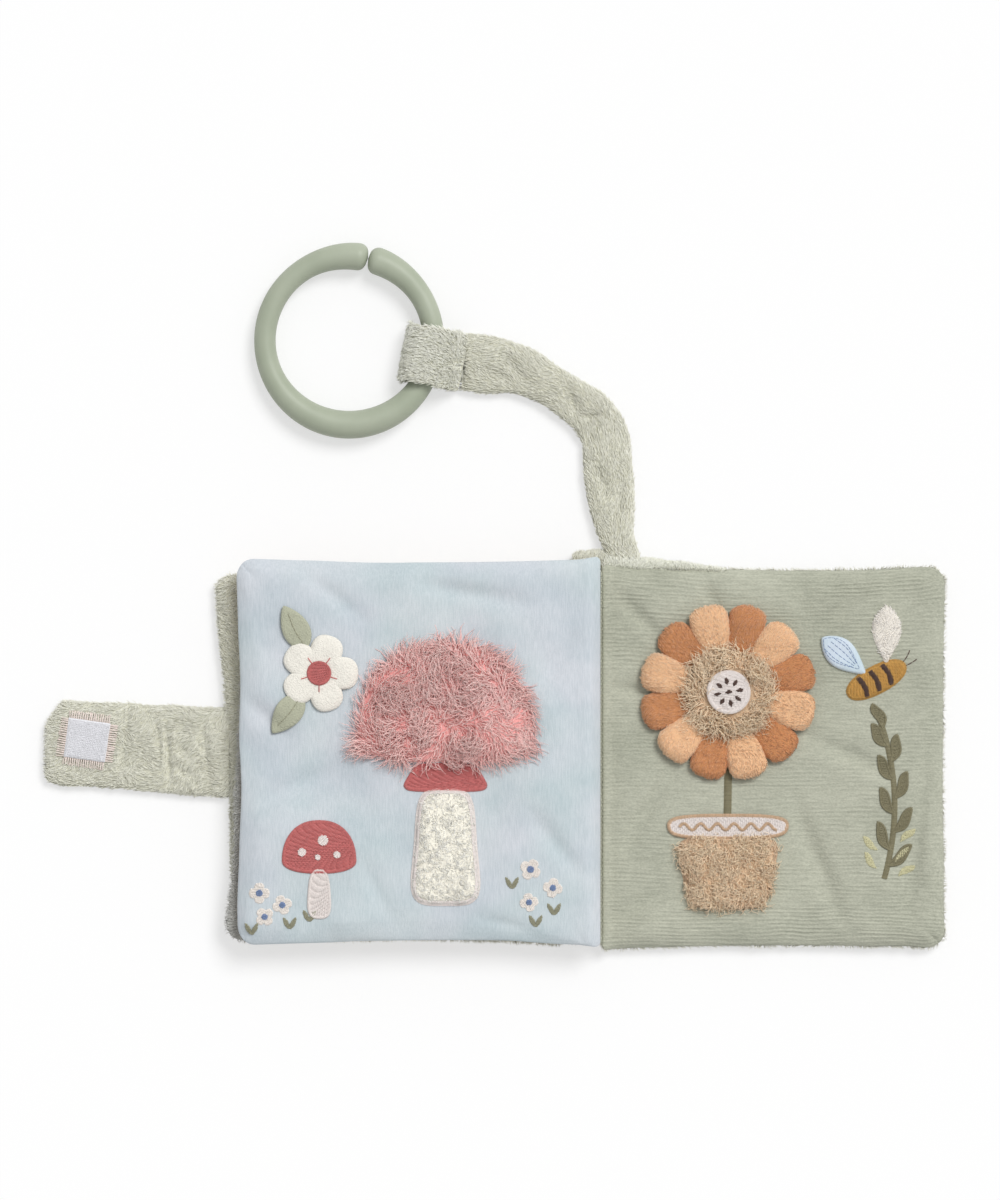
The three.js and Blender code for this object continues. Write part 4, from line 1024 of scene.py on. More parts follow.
def make_hook_patch(high):
    steps = 34
    s, t = np.meshgrid(np.linspace(-1, 1, steps), np.linspace(-1, 1, steps))
    local = np.stack([s, t], axis=-1) * PATCH_HALF
    local *= 1 - 0.012 * noise(local[..., 0], local[..., 1], 4, 96)[..., None]
    place = turned(local, PATCH_TURN) + PATCH_MIDDLE
    edge = np.maximum(np.abs(s), np.abs(t))
    level = high - 0.55 - 0.5 * np.clip((edge - 0.9) / 0.1, 0, 1) ** 2
    level = level + 0.05 * noise(place[..., 0], place[..., 1], 0.8, 97)
    points = np.concatenate([place, level[..., None]], axis=-1)
    mesh_piece("hook_tape", points, grid_quads(steps, steps), "hook_tape", "tab_end", "hook_patch")
    counts = (2 * (PATCH_HALF - 0.5) / HOOK_PITCH).astype(int)
    gx, gy = np.meshgrid(*(np.linspace(-h + 0.6, h - 0.6, n) for h, n in zip(PATCH_HALF, counts)))
    uneven = np.random.default_rng(95).normal(0, 0.05, (gx.size, 2))
    roots = np.column_stack([gx.ravel(), gy.ravel()]) + uneven
    arc = np.linspace(0, math.pi * 0.85, 6)
    hook = np.column_stack([0.2 * (1 - np.cos(arc)), np.zeros(6), 0.5 * np.sin(arc)])
    paths = np.zeros((len(roots), 6, 3))
    paths[..., :2] = turned(roots[:, None] + hook[None, :, :2], PATCH_TURN) + PATCH_MIDDLE
    paths[..., 2] = high - 0.6 + hook[None, :, 2]
    tubes("hook_tape_hooks", paths, 0.07, "hook_tape", "tab_end")


def make_patch_stitching(ground, high):
    """Short threads that run out from the patch's edge, side by side all the way round."""
    rng = np.random.default_rng(98)
    corners = np.array([[-1, -1], [1, -1], [1, 1], [-1, 1], [-1, -1]]) * (PATCH_HALF - 0.2)
    roots, outs = [], []
    for start, end in zip(corners[:-1], corners[1:]):
        count = int(np.linalg.norm(end - start) / STITCH_SPACING)
        t = (np.arange(count) + 0.5)[:, None] / count
        roots.append(start + (end - start) * t)
        outward = np.array([(end - start)[1], -(end - start)[0]])
        outs.append(np.repeat(unit(outward)[None], count, axis=0))
    roots, outs = np.concatenate(roots), np.concatenate(outs)
    sideways = np.stack([-outs[:, 1], outs[:, 0]], axis=1)
    slant = np.where(np.arange(len(roots)) % 2, 0.3, -0.3)[:, None] + rng.normal(0, 0.12, (len(roots), 1))
    reach = STITCH_BAND * rng.uniform(0.85, 1.05, (len(roots), 1))
    start, end = roots - outs * 0.4, roots + outs * reach + sideways * slant
    t = np.linspace(0, 1, 7)[None, :, None]
    flat = turned(start[:, None] * (1 - t) + end[:, None] * t, PATCH_TURN) + PATCH_MIDDLE
    base = ground.heights(flat[..., 0], flat[..., 1], TAB_THICKNESS)
    lift = np.maximum(base + 0.5, 0) + 0.45 * np.sin(t[..., 0] * math.pi)
    lift[:, 0] = high - 0.9
    paths = np.concatenate([flat, lift[..., None]], axis=-1)
    tubes("hook_patch_threads", paths, 0.2, "stitch_thread", "tab_end", "hook_patch_stitching", sides=5)


def make_tab():
    end_x = box("tab_end_front", "tab_end_back")[0][0]
    near = np.linspace(TAB_RIGHT_X, TAB_JOIN_X, 34)
    tip = end_x + 8 * np.linspace(1, 0, 26) ** 1.6
    far = np.concatenate([np.linspace(TAB_JOIN_X, end_x + 8, 64)[:-1], tip])
    near_nodes = ("tab_root", "tab_base_front", "tab_base_back")
    make_tab_stretch("tab_near", near, near_nodes,
                     count=6000, seed=92)
    far_nodes = ("tab_end_front", "tab_end_back")
    end = make_tab_stretch("tab_far", far, far_nodes,
                           count=11000, seed=94)
    high = box("hook_patch")[1][2]
    make_hook_patch(high)
    make_patch_stitching(Ground("tab_end", end), high)


make_tab()


# Outlines, drawn round their own middle
def dome(width, top, under, count=120):
    """A toadstool cap from the side: a high round top over a shallow round underside."""
    u, w = squared_round(count, 0.86, 0.92)
    return np.column_stack([width / 2 * u, np.where(w > 0, top * w, under * np.sin(turns_round(count)))])


def taper(top_width, foot_width, height, corner, count=120, waist=0.0):
    """A bar that is wider at one end, with round corners."""
    power = 2 * corner / min(top_width, height) + 0.12
    u, v = squared_round(count, power, power)
    half = (top_width * (1 + v) + foot_width * (1 - v)) / 4 - waist * (1 - v * v)
    return np.column_stack([u * half, v * height / 2])


def blossom(radius, petals, dip, count, turn):
    a = turns_round(count)
    reach = radius * (1 - dip * (1 - np.abs(np.cos(a * petals / 2))) ** 1.6)
    return turned(np.column_stack([reach * np.cos(a), reach * np.sin(a)]), turn)


def disc(radius, count=60):
    a = turns_round(count)
    return np.column_stack([radius * np.cos(a), radius * np.sin(a)])


def mirrored(along, half):
    """An outline round the X axis, from its half widths."""
    upper = np.column_stack([along, half])
    return np.vstack([upper[::-1], (upper * [1, -1])[1:-1]])


def blade(length, width, widest, count=80):
    """A leaf from its root at the origin along +X."""
    t = np.linspace(0, 1, count // 2)
    return mirrored(t * length, width / 2 * np.sin(math.pi * t ** (math.log(0.5) / math.log(widest))) ** 0.75)


def wavy_leaf(length, width, bend):
    """A long narrow leaf that sways to one side and back."""
    outline = blade(length, width, widest=0.55, count=60)
    outline[:, 1] += bend * np.sin(outline[:, 0] / length * math.pi * 1.6)
    return outline


def petal(length, width):
    """A broad petal with a blunt round tip, from its root at the origin along +X."""
    t = np.linspace(0, 1, 40)
    half = width / 2 * (0.6 + 0.4 * smooth(t / 0.6)) * (1 - np.clip((t - 0.72) / 0.28, 0, 1) ** 2.8) ** 0.5
    return mirrored(t * length, half * rounded(t, 0.04))


def placed(outline, middle, turn=0.0):
    return turned(outline, turn) + np.asarray(middle, float)


# Sewn pieces
def puffed(name, outline, ground, height, look, *nodes, fill=None, power=2.5, rings=18, lift=0.0, lumps=0.0,
           seed=0, tilt=None):
    """A filled piece over a star-shaped outline: a soft crowned top and a flat underside.

    tilt raises it away from a place: how high, the place, and the distances where that starts and how long it
    goes on.
    """
    middle = (outline.max(axis=0) + outline.min(axis=0)) / 2
    r = np.sin(np.linspace(0.0005, 1, rings) * math.pi / 2)
    flat = middle + (outline - middle)[None] * r[:, None, None]
    crown = np.repeat((1 - r**power)[:, None] ** 0.5, len(outline), axis=1)
    base = ground.heights(flat[..., 0], flat[..., 1]) + lift
    if tilt:
        rise, centre, start, reach = tilt
        base = base + rise * smooth((np.linalg.norm(flat - centre, axis=-1) - start) / reach)
    rough = lumps * noise(flat[..., 0], flat[..., 1], 3.2, seed) * np.sqrt(crown)
    top = np.concatenate([flat, (base + height * crown + rough)[..., None]], axis=-1)
    low = np.concatenate([flat, (base - (0.15 if lift else 0.45))[..., None]], axis=-1)[::-1]
    return ringed(name, np.concatenate([top, low]), look, ground.rides, *nodes, fill=fill)


def threads(name, stitches, ground, look, *nodes, thick=0.2, arch=0.3, lift=0.05):
    """Straight stitches: each rises from one hole in the cloth and goes down into another."""
    t = np.linspace(0, 1, 6)[None, :, None]
    flat = stitches[0][:, None] * (1 - t) + stitches[1][:, None] * t
    rise = lift - 0.1 + arch * np.abs(np.sin(t[..., 0] * math.pi)) ** 0.5
    paths = np.concatenate([flat, (ground.heights(flat[..., 0], flat[..., 1]) + rise)[..., None]], axis=-1)
    tubes(name, paths, thick, look, ground.rides, *nodes, sides=4)


def fill_stitches(outline, angle, pitch, stitch, seed):
    """Starts and ends of the stitches that fill an outline in staggered rows."""
    rng = np.random.default_rng(seed)
    flat = turned(outline, -angle)
    following = np.roll(flat, -1, axis=0)
    starts, ends = [], []
    for row, y in enumerate(np.arange(flat[:, 1].min() + pitch / 2, flat[:, 1].max(), pitch)):
        crossing = (flat[:, 1] > y) != (following[:, 1] > y)
        a, b = flat[crossing], following[crossing]
        xs = np.sort(a[:, 0] + (y - a[:, 1]) / (b[:, 1] - a[:, 1]) * (b[:, 0] - a[:, 0]))
        for left, right in zip(xs[::2], xs[1::2]):
            left, right = left + rng.uniform(-0.12, 0.12), right + rng.uniform(-0.12, 0.12)
            cuts = np.arange(left - stitch * ((row * 0.37) % 1), right + stitch, stitch)
            cuts = np.concatenate([[left], cuts[(cuts > left + 0.5) & (cuts < right - 0.5)], [right]])
            starts += [(x, y) for x in cuts[:-1]]
            ends += [(x, y) for x in cuts[1:]]
    return turned(np.array(starts), angle), turned(np.array(ends), angle)


def border_stitches(outline, width, pitch, closed=True, inset=0.5):
    """Starts and ends of stitches across an edge, side by side along it."""
    path = resample(outline, pitch, closed)
    along = np.roll(path, -1, axis=0) - np.roll(path, 1, axis=0) if closed else np.gradient(path, axis=0)
    along = unit(along)
    out = np.column_stack([along[:, 1], -along[:, 0]])
    return path - out * width * inset, path + out * width * (1 - inset)


def embroidery(name, outline, angle, ground, look, *nodes, pitch=0.5, stitch=2.6, edge=None, edge_look=None,
               seed=0, lift=0.05):
    """An area filled with thread, with a raised border if edge is its width."""
    stitches = fill_stitches(outline, angle, pitch, stitch, seed)
    threads(name, stitches, ground, look, *nodes, thick=0.56 * pitch, arch=0.36, lift=lift)
    if edge:
        border = border_stitches(outline, width=edge, pitch=0.38)
        threads(name + "_edge", border, ground, edge_look or look, arch=0.35, lift=lift + 0.2)


def running_stitch(name, path, ground, look, stitch, thick, closed=False, lift=0.1):
    path = resample(path, stitch, closed)
    starts, ends = (path, np.roll(path, -1, axis=0)) if closed else (path[:-1], path[1:])
    gap = (ends - starts) * 0.07
    threads(name, (starts + gap, ends - gap), ground, look, thick=thick, arch=0.18, lift=lift)


# Blue page: a large fluffy toadstool, a small embroidered one, a felt flower and small blossoms
ROOM_HEIGHT = 22.1  # at ROOM_X, and from there it rises by ROOM_SLOPE towards the free edge
ROOM_X = -15.0
ROOM_SLOPE = 0.1
PAST_FLOWER_X = -37.0
PAST_FLOWER_SLOPE = 1.2


def room_under_sunflower(x):
    """How high the toadstool's fluff may stand, so that it clears the sunflower when the book is closed."""
    past = np.maximum(PAST_FLOWER_X - x, 0)
    return ROOM_HEIGHT + ROOM_SLOPE * (ROOM_X - x) + PAST_FLOWER_SLOPE * past


def make_toadstool(ground):
    low, high = box("toadstool_cap")
    centre = np.array([(low[0] + high[0]) / 2, low[1] + 9.0])
    outline = placed(dome(high[0] - low[0] - 5, high[1] - centre[1] - 3, 7.0), centre)
    _, surface = puffed("toadstool_cap_base", outline, ground, 4.2, "pink_cloth", "toadstool_cap", fill=0.7,
                        power=3.0, rings=24, lumps=0.5, seed=101)
    fluff("toadstool_cap_fluff", surface, "pink_fluff", ground.rides, count=7600, length=7.2, seed=102,
          middle=centre + [0, 6], spread=170, field=6, room=room_under_sunflower, thickness=0.44, lift=0.5,
          wild=0.35, stations=6, curl=0.6, turns=1.2, clump=0.75, clump_size=2.8)

    middle, size = middle_of("toadstool_skirt")
    outline = placed(taper(size[0] * 0.66, size[0], size[1] + 1.5, corner=1.2), middle + [0, 0.6])
    embroidery("toadstool_skirt_threads", outline, 8, ground, "coral_thread", "toadstool_skirt", edge=1.3,
               seed=104)

    middle, size = middle_of("toadstool_stem")
    outline = placed(taper(21, size[0], size[1], corner=3.5, waist=1.0), middle)
    stem, surface = puffed("toadstool_stem_fleece", outline, ground, 2.4, "cream_fleece", "toadstool_stem",
                           fill=0.5, power=5.0, rings=26, lumps=0.45, seed=105)
    fluff("toadstool_stem_curls", surface, "cream_curl", ground.rides, count=7600, length=1.4, seed=106,
          heading=-90, spread=170, field=2.5, thickness=0.32, lift=0.4, wild=0.35, stations=5, curl=0.35,
          turns=1.3, clump=0.15, clump_size=1.2)
    border = border_stitches(outline, width=1.9, pitch=0.36, inset=0.55)
    top = Ground(ground.rides, stem, blue_page)
    threads("toadstool_stem_edge", border, top, "off_white_thread", arch=0.35, lift=0.2)


def make_small_toadstool(ground):
    low, high = box("small_toadstool_cap")
    centre = np.array([(low[0] + high[0]) / 2, low[1] + 4])
    outline = placed(dome(high[0] - low[0], high[1] - centre[1], 4, count=80), centre)
    embroidery("small_toadstool_cap_threads", outline, 20, ground, "coral_thread", "small_toadstool_cap",
               edge=1.2, seed=111)
    for k, (x, y, radius) in enumerate([(-6.5, 3.5, 1.5), (1.5, 8.0, 1.9), (6.8, 2.6, 1.3),
                                        (-0.5, 1.6, 1.0)]):
        spot = placed(disc(radius, count=24), centre + [x, y])
        embroidery(f"small_toadstool_spot_{k + 1}", spot, -30, ground, "off_white_thread", seed=112 + k,
                   lift=0.45)
    middle, size = middle_of("small_toadstool_stem")
    outline = placed(taper(size[0] * 0.72, size[0], size[1] + 1, corner=1.6, count=60), middle + [0, 0.5])
    embroidery("small_toadstool_stem_threads", outline, 62, ground, "off_white_thread",
               "small_toadstool_stem", edge=0.9, seed=117)


def make_felt_flower(ground):
    middle, size = middle_of("felt_flower")
    for k, heading in ((1, 118), (2, -128)):
        node = f"felt_leaf_{k}"
        root = middle + turned([10.5, 0], heading)
        leaf, _ = puffed(node + "_felt", placed(blade(18.5, 10.5, widest=0.42), root, heading), ground, 1.0,
                         "sage_felt", node, power=9.0, lift=0.25, lumps=0.12, seed=120 + k,
                         tilt=(0.9, middle, 0, 28))
        vein = root + turned([[2, 0], [8, 0.5], [15, -0.2]], heading)
        top = Ground(ground.rides, leaf, blue_page)
        running_stitch(node + "_vein", spline(vein, 30), top, "sage_thread", stitch=1.6, thick=0.14)
    outline = placed(blossom(size.max() / 2 + 0.4, petals=5, dip=0.3, count=180, turn=72), middle)
    flower, _ = puffed("felt_flower_felt", outline, ground, 1.7, "white_felt", "felt_flower", power=7.0,
                       rings=24, lift=0.7, lumps=0.16, seed=124)
    top = Ground(ground.rides, flower, blue_page)
    embroidery("felt_flower_heart", placed(disc(4.1), middle), 35, top, "coral_thread", "felt_flower_centre",
               pitch=0.4, stitch=2.2, edge=1.0, seed=125)
    turns = np.radians(np.arange(5) * 72 + 54)
    rays = np.column_stack([np.cos(turns), np.sin(turns)])
    threads("felt_flower_rays", (middle + rays * 4.4, middle + rays * 7.2), top, "coral_thread", arch=0.15,
            lift=0.1)


BLOSSOMS = [
    (-123.5, -52.0, 3.9),
    (-114.8, -56.5, 3.7),
    (-121.5, -61.0, 3.6),
    (-20.5, -43.0, 4.0),
    (-12.0, -50.0, 3.7),
    (-21.0, -55.5, 3.5),
]
SPRIGS = [(-112.0, -65.8), (-126.5, -68.0), (-104.5, -63.0), (-11.5, -60.5), (-27.5, -50.5), (-18.5, -65.0)]


def make_blossoms(ground):
    for k, (x, y, radius) in enumerate(BLOSSOMS):
        shape = placed(blossom(radius, petals=4, dip=0.35, count=60, turn=20 * k), (x, y))
        embroidery(f"blossom_{k + 1}", shape, 30 + 25 * k, ground, "petal_thread", pitch=0.36, stitch=1.8,
                   seed=130 + k)
        embroidery(f"blossom_heart_{k + 1}", placed(disc(radius * 0.32, count=20), (x, y)), 60, ground,
                   "blue_thread", pitch=0.32, stitch=1.4, seed=140 + k, lift=0.4)
    for k, root in enumerate(SPRIGS):
        for side, heading in ((1, 62), (2, 118)):
            leaf = placed(blade(5.2, 1.7, widest=0.5, count=40), root, heading)
            embroidery(f"blossom_leaf_{k + 1}_{side}", leaf, heading + 40, ground, "sage_thread", pitch=0.36,
                       stitch=1.8, seed=150 + 2 * k + side)


blue_ground = Ground("blue_leaf", blue_page)
make_toadstool(blue_ground)
make_small_toadstool(blue_ground)
make_felt_flower(blue_ground)
make_blossoms(blue_ground)


# Ribbed page: a sunflower in a pot, a bee with two loose wings and a sprig
SUN = np.array([54.92, 24.36])
SUN_RADIUS = 15.6
BEE = np.array([111.68, 28.8])
BEE_TURN = 28.0
WING_REAR = np.array([106.03, 32.27])
WING_REAR_TURN = 140.0
WING_FRONT = np.array([115.35, 37.23])
WING_FRONT_TURN = 90.0
SPRIG_ROOT = (114.6, -46.8)
SPRIG_LEAVES = 9
SPRIG_BUDS = [
    (111.5, -43.0, 128),
    (119.0, -40.5, 52),
    (112.0, -36.0, 140),
    (120.8, -33.0, 44),
    (120.0, -46.0, 34),
]


def make_sunflower(ground):
    for k in range(12):
        turn = 15 + 30 * k
        colour, width, rise = ("peach", 14.8, 1.0) if k % 2 else ("rust", 14.2, 0.3)
        node = f"petal_{k + 1}"
        outline = placed(petal(21.0, width), SUN + turned([12.8, 0], turn), turn)
        _, surface = puffed(node + "_velour", outline, ground, 3.0, colour + "_velour", node, fill=0.4,
                            power=5.0, lift=rise, lumps=0.3, seed=200 + k, tilt=(1.3, SUN, 14, 18))
        fluff(node + "_pile", surface, colour + "_pile", ground.rides, count=2200, length=1.35, seed=220 + k,
              heading=turn, spread=34, field=6, thickness=0.32, lift=0.3, wild=0.13, clump=0.1,
              clump_size=1.2)
    centre, surface = puffed("sunflower_centre_base", placed(disc(SUN_RADIUS, count=100), SUN), ground, 4.4,
                             "tan_cloth", "sunflower_centre", fill=0.6, power=3.4, rings=26, lift=2.0,
                             lumps=0.5, seed=240)
    fluff("sunflower_centre_curls", surface, "tan_fluff", ground.rides, count=5600, length=6.0, seed=241,
          middle=SUN, inner=9.2, spread=150, field=6, thickness=0.42, wild=0.35, stations=8, curl=1.2,
          turns=1.3, clump=0.72, clump_size=3.0)
    top = Ground(ground.rides, centre, ribbed_page)
    embroidery("sunflower_heart", placed(disc(7.6, count=70), SUN), 15, top, "off_white_thread", pitch=0.42,
               stitch=2.8, edge=1.4, seed=243, lift=1.6)
    turns = np.radians(np.arange(8) * 45 + 10)
    seeds = SUN + 4.3 * np.column_stack([np.cos(turns), np.sin(turns)])
    for k, place in enumerate([*seeds, SUN]):
        turn = 45 * k + 10
        spot = placed(blade(2.6, 1.5, widest=0.5, count=24), place - turned([1.3, 0], turn), turn)
        embroidery(f"sunflower_seed_{k + 1}", spot, turn + 90, top, "seed_thread", pitch=0.34, stitch=1.8,
                   seed=250 + k, lift=1.9)


def make_pot(ground):
    low, high = box("sunflower_stalk")
    sway = np.array([[0.2, high[1] + 8], [0, high[1]], [-0.2, low[1]]])
    path = sway + [(low[0] + high[0]) / 2, 0]
    stitches = border_stitches(spline(path, 30), width=high[0] - low[0] - 0.3, pitch=0.36, closed=False)
    threads("sunflower_stalk_threads", stitches, ground, "olive_thread", "sunflower_stalk", arch=0.5)
    middle, size = middle_of("pot")
    outline = placed(taper(size[0] * 0.97, 28.5, size[1], corner=2.6), middle)
    pot, surface = puffed("pot_fleece", outline, ground, 2.8, "tan_cloth", "pot", fill=0.5, power=6.0,
                          rings=26, lumps=0.4, seed=260)
    fluff("pot_curls", surface, "tan_fluff", ground.rides, count=5200, length=3.6, seed=261, heading=-90,
          spread=170, field=4, thickness=0.42, wild=0.35, stations=8, curl=0.9, turns=1.3, clump=0.65,
          clump_size=2.4)
    border = border_stitches(outline, width=1.5, pitch=0.4, inset=0.55)
    threads("pot_edge", border, Ground(ground.rides, pot, ribbed_page), "tan_thread", arch=0.35, lift=0.2)
    middle, size = middle_of("pot_rim")
    outline = placed(taper(size[0] + 1, size[0] - 1, size[1], corner=2.2), middle)
    embroidery("pot_rim_threads", outline, 78, ground, "off_white_thread", "pot_rim", edge=1.3,
               edge_look="rim_edge", seed=263, lift=0.5)
    reach = size[0] / 2 - 4
    x = np.linspace(middle[0] - reach, middle[0] + reach, 90)
    wave = middle[1] + 1.3 * np.sin((x - x[0]) / 6.4 * 2 * math.pi)
    stitches = border_stitches(np.column_stack([x, wave]), width=1.0, pitch=0.34, closed=False)
    threads("pot_rim_wave", stitches, ground, "tan_thread", thick=0.17, lift=1.0)


def make_bee(ground):
    outline = placed(dome(24, 4.9, 4.6), BEE, BEE_TURN)
    body, _ = puffed("bee_body_base", outline, ground, 1.6, "ochre_velour", "bee_body", power=4.0, rings=20)
    top = Ground(ground.rides, body, ribbed_page)
    embroidery("bee_body_threads", outline, BEE_TURN + 86, top, "ochre_thread", pitch=0.4, stitch=3.0,
               edge=1.2, seed=270)
    for k, along in enumerate((-5.6, -0.4, 4.8)):
        path = BEE + turned([[along - 0.5, -4.0], [along + 0.4, 0], [along - 0.3, 4.2]], BEE_TURN)
        stitches = border_stitches(spline(path, 24), width=2.1, pitch=0.34, closed=False)
        threads(f"bee_stripe_{k + 1}", stitches, top, "brown_thread", thick=0.18, arch=0.35, lift=0.35)
    for k, (side, reach) in enumerate(((1, 5.6), (-0.2, 6.4))):
        path = BEE + turned([[11.0, side], [14.0, side * 2.2], [11 + reach, side * 3.6 + 0.6]], BEE_TURN)
        running_stitch(f"bee_feeler_{k + 1}", spline(path, 20), ground, "brown_thread", stitch=1.4,
                       thick=0.18)


def make_wing(name, rides, root, turn, look, seed):
    outline = blade(23.0, 10.8, widest=0.6) - [3.0, 0]
    outline[:, 1] *= 1 + 0.04 * np.sin(outline[:, 0] / 21 * math.pi)
    level = FlatGround(rides, box(name)[0][2] + 0.1)
    return puffed(name + "_cloth", placed(outline, root, turn), level, 1.7, look, name, fill=0.3, power=7.0,
                  rings=20, lumps=0.2, seed=seed, tilt=(1.6, root, 0, 20))


def make_wings():
    rear, _ = make_wing("bee_wing_rear", "wing_rear", WING_REAR, WING_REAR_TURN, "pale_blue_cloth", seed=280)
    top = Ground("wing_rear", rear, ribbed_page)
    for k, bow in enumerate((-2.6, -0.9, 0.9, 2.6)):
        path = WING_REAR + turned([[3.5, bow * 0.4], [10, bow * 1.15], [16.5, bow * 1.05]], WING_REAR_TURN)
        running_stitch(f"bee_wing_vein_{k + 1}", spline(path, 20), top, "blue_thread", stitch=1.5, thick=0.1,
                       lift=0.05)
    hem = placed(blade(18.2, 8.2, widest=0.62), WING_REAR + turned([0.9, 0], WING_REAR_TURN), WING_REAR_TURN)
    running_stitch("bee_wing_hem", hem, top, "blue_thread", stitch=1.5, thick=0.09, closed=True, lift=0.05)
    _, surface = make_wing("bee_wing_front", "wing_front", WING_FRONT, WING_FRONT_TURN, "white_plush",
                           seed=290)
    fluff("bee_wing_front_pile", surface, "white_pile", "wing_front", count=1800, length=1.3, seed=291,
          heading=WING_FRONT_TURN, spread=80, field=4, thickness=0.34, wild=0.2, clump_size=1.2)


def make_sprig(ground):
    turns = np.radians(74 + 35 * np.linspace(0, 1, 61))
    steps = np.column_stack([np.cos(turns), np.sin(turns)])
    stem = np.vstack([[0, 0], np.cumsum(steps[:-1], axis=0)]) + SPRIG_ROOT
    stitches = border_stitches(stem, width=2.1, pitch=0.34, closed=False)
    threads("sprig_stem", stitches, ground, "olive_thread", "sprig", thick=0.19, arch=0.4)
    for k in range(SPRIG_LEAVES):
        at = int(60 * (k + 0.9) / SPRIG_LEAVES) - 1
        side = 1 if k % 2 else -1
        away = side * (40 - 2 * k) if k < SPRIG_LEAVES - 1 else 0
        heading = math.degrees(turns[at]) + away
        leaf = placed(wavy_leaf(12.0 - 0.25 * k, 3.6, 0.8 * side), stem[at], heading)
        embroidery(f"sprig_leaf_{k + 1}", leaf, heading + 68, ground, "olive_thread", pitch=0.36, stitch=3.0,
                   edge=0.7, seed=300 + k)
    for k, (x, y, heading) in enumerate(SPRIG_BUDS):
        bud = placed(wavy_leaf(7.5, 2.7, 0.4), (x, y), heading)
        embroidery(f"sprig_bud_{k + 1}", bud, heading + 70, ground, "bud_thread", pitch=0.36, stitch=2.4,
                   seed=320 + k)


ribbed_ground = Ground("back_cover", ribbed_page)
make_sunflower(ribbed_ground)
make_pot(ribbed_ground)
make_bee(ribbed_ground)
make_wings()
make_sprig(ribbed_ground)


# Inside each page: a rustling film and a thin batting
INSET = 3.0  # from the CAD's outline of both
INSIDES = [("front_cover", front_cover), ("grey_leaf", grey_leaf), ("blue_leaf", blue_leaf),
           ("back_cover", back_cover)]


def rounded_box(half, corner, count=96):
    """A rectangle with round corners, as an outline round its middle."""
    turn = turns_round(count) + math.pi / count
    c, s = np.cos(turn), np.sin(turn)
    reach = np.minimum(half[0] / np.maximum(np.abs(c), TINY), half[1] / np.maximum(np.abs(s), TINY))
    return np.column_stack(round_corners(reach * c, reach * s, half, corner))


def ridges(x, y, size, seed):
    """Sharp folds, as in a crumpled film."""
    return 1 - 2 * np.abs(noise(x, y, size, seed))


def row_length(points):
    return np.linalg.norm(np.diff(points, axis=1), axis=2).sum(axis=1).mean()


def make_inside(body, panel, seed):
    low, high = box(body + "_wadding")
    outline = placed(rounded_box((high - low)[:2] / 2 - INSET, 8), panel.middle)
    puffed(body + "_batting", outline, FlatGround(body, low[2] + 0.25), max(0.6, high[2] - low[2] - 1.7),
           "wadding", body + "_wadding", fill=0.4, power=9.0, rings=30, lift=0.05, lumps=0.25, seed=seed)
    low, high = box(body + "_crinkle_film")
    half = (high - low)[:2] / 2 - INSET
    x, y = np.meshgrid(*(np.linspace(-h, h, int(2 * h / 2.2)) for h in half))
    crumple = 0.16 * ridges(x + 0.6 * y, y, 11, seed + 1) + 0.1 * ridges(x, y - x, 6, seed + 2)
    level = (low[2] + high[2]) / 2 + crumple - 0.5
    points = np.stack([x + panel.middle[0], y + panel.middle[1], level], axis=-1)
    if panel.folds:
        points[..., 2] -= 1.1 * creased(points.reshape(-1, 3), panel.folds).reshape(x.shape)
    film = mesh_piece(body + "_film", points, grid_quads(*x.shape), "crinkle_film", body,
                      body + "_crinkle_film", flat=True)
    size = row_length(points) * MM, row_length(points.transpose(1, 0, 2)) * MM


for k, (body, panel) in enumerate(INSIDES):
    make_inside(body, panel, seed=440 + 10 * k)


# Pile on the plush cloths, thickest along their sewn edges
MIDDLE_SHARE = 0.62  # how many of the fibres are kept far from the edges
EDGE_BAND = 9  # where the pile lies outwards
# Name, cloth, panel, body, look, count, seed, the thick bands at its free end and sides, length and curl
PANEL_PILES = [("front_cover_inner_pile", cover_inner, front_cover, "front_cover", "sage_pile", 42000, 480,
                13, 5, 1.6, 0), ("front_cover_outer_pile", cover_outer, front_cover, "front_cover",
                                 "sage_pile", 38000, 484, 5, 4, 1.6, 0),
               ("back_cover_outer_pile", back_outer, back_cover, "back_cover", "sage_pile", 40000, 488, 5, 5,
                1.6, 0), ("grey_leaf_pile", grey_front, grey_leaf, "grey_leaf", "grey_pile", 38000, 492, 8, 6,
                          1.5, 0.3), ("grey_leaf_back_pile", grey_back, grey_leaf, "grey_leaf", "grey_pile",
                                      34000, 496, 5, 4, 1.4, 0.3),]


def mesh_arrays(piece):
    data = piece.data
    points = np.zeros(len(data.vertices) * 3, np.float32)
    data.vertices.foreach_get("co", points)
    corners = np.zeros(len(data.loops), np.int32)
    data.loops.foreach_get("vertex_index", corners)
    return (points.reshape(-1, 3) / MM).astype(float), corners.reshape(-1, 4)


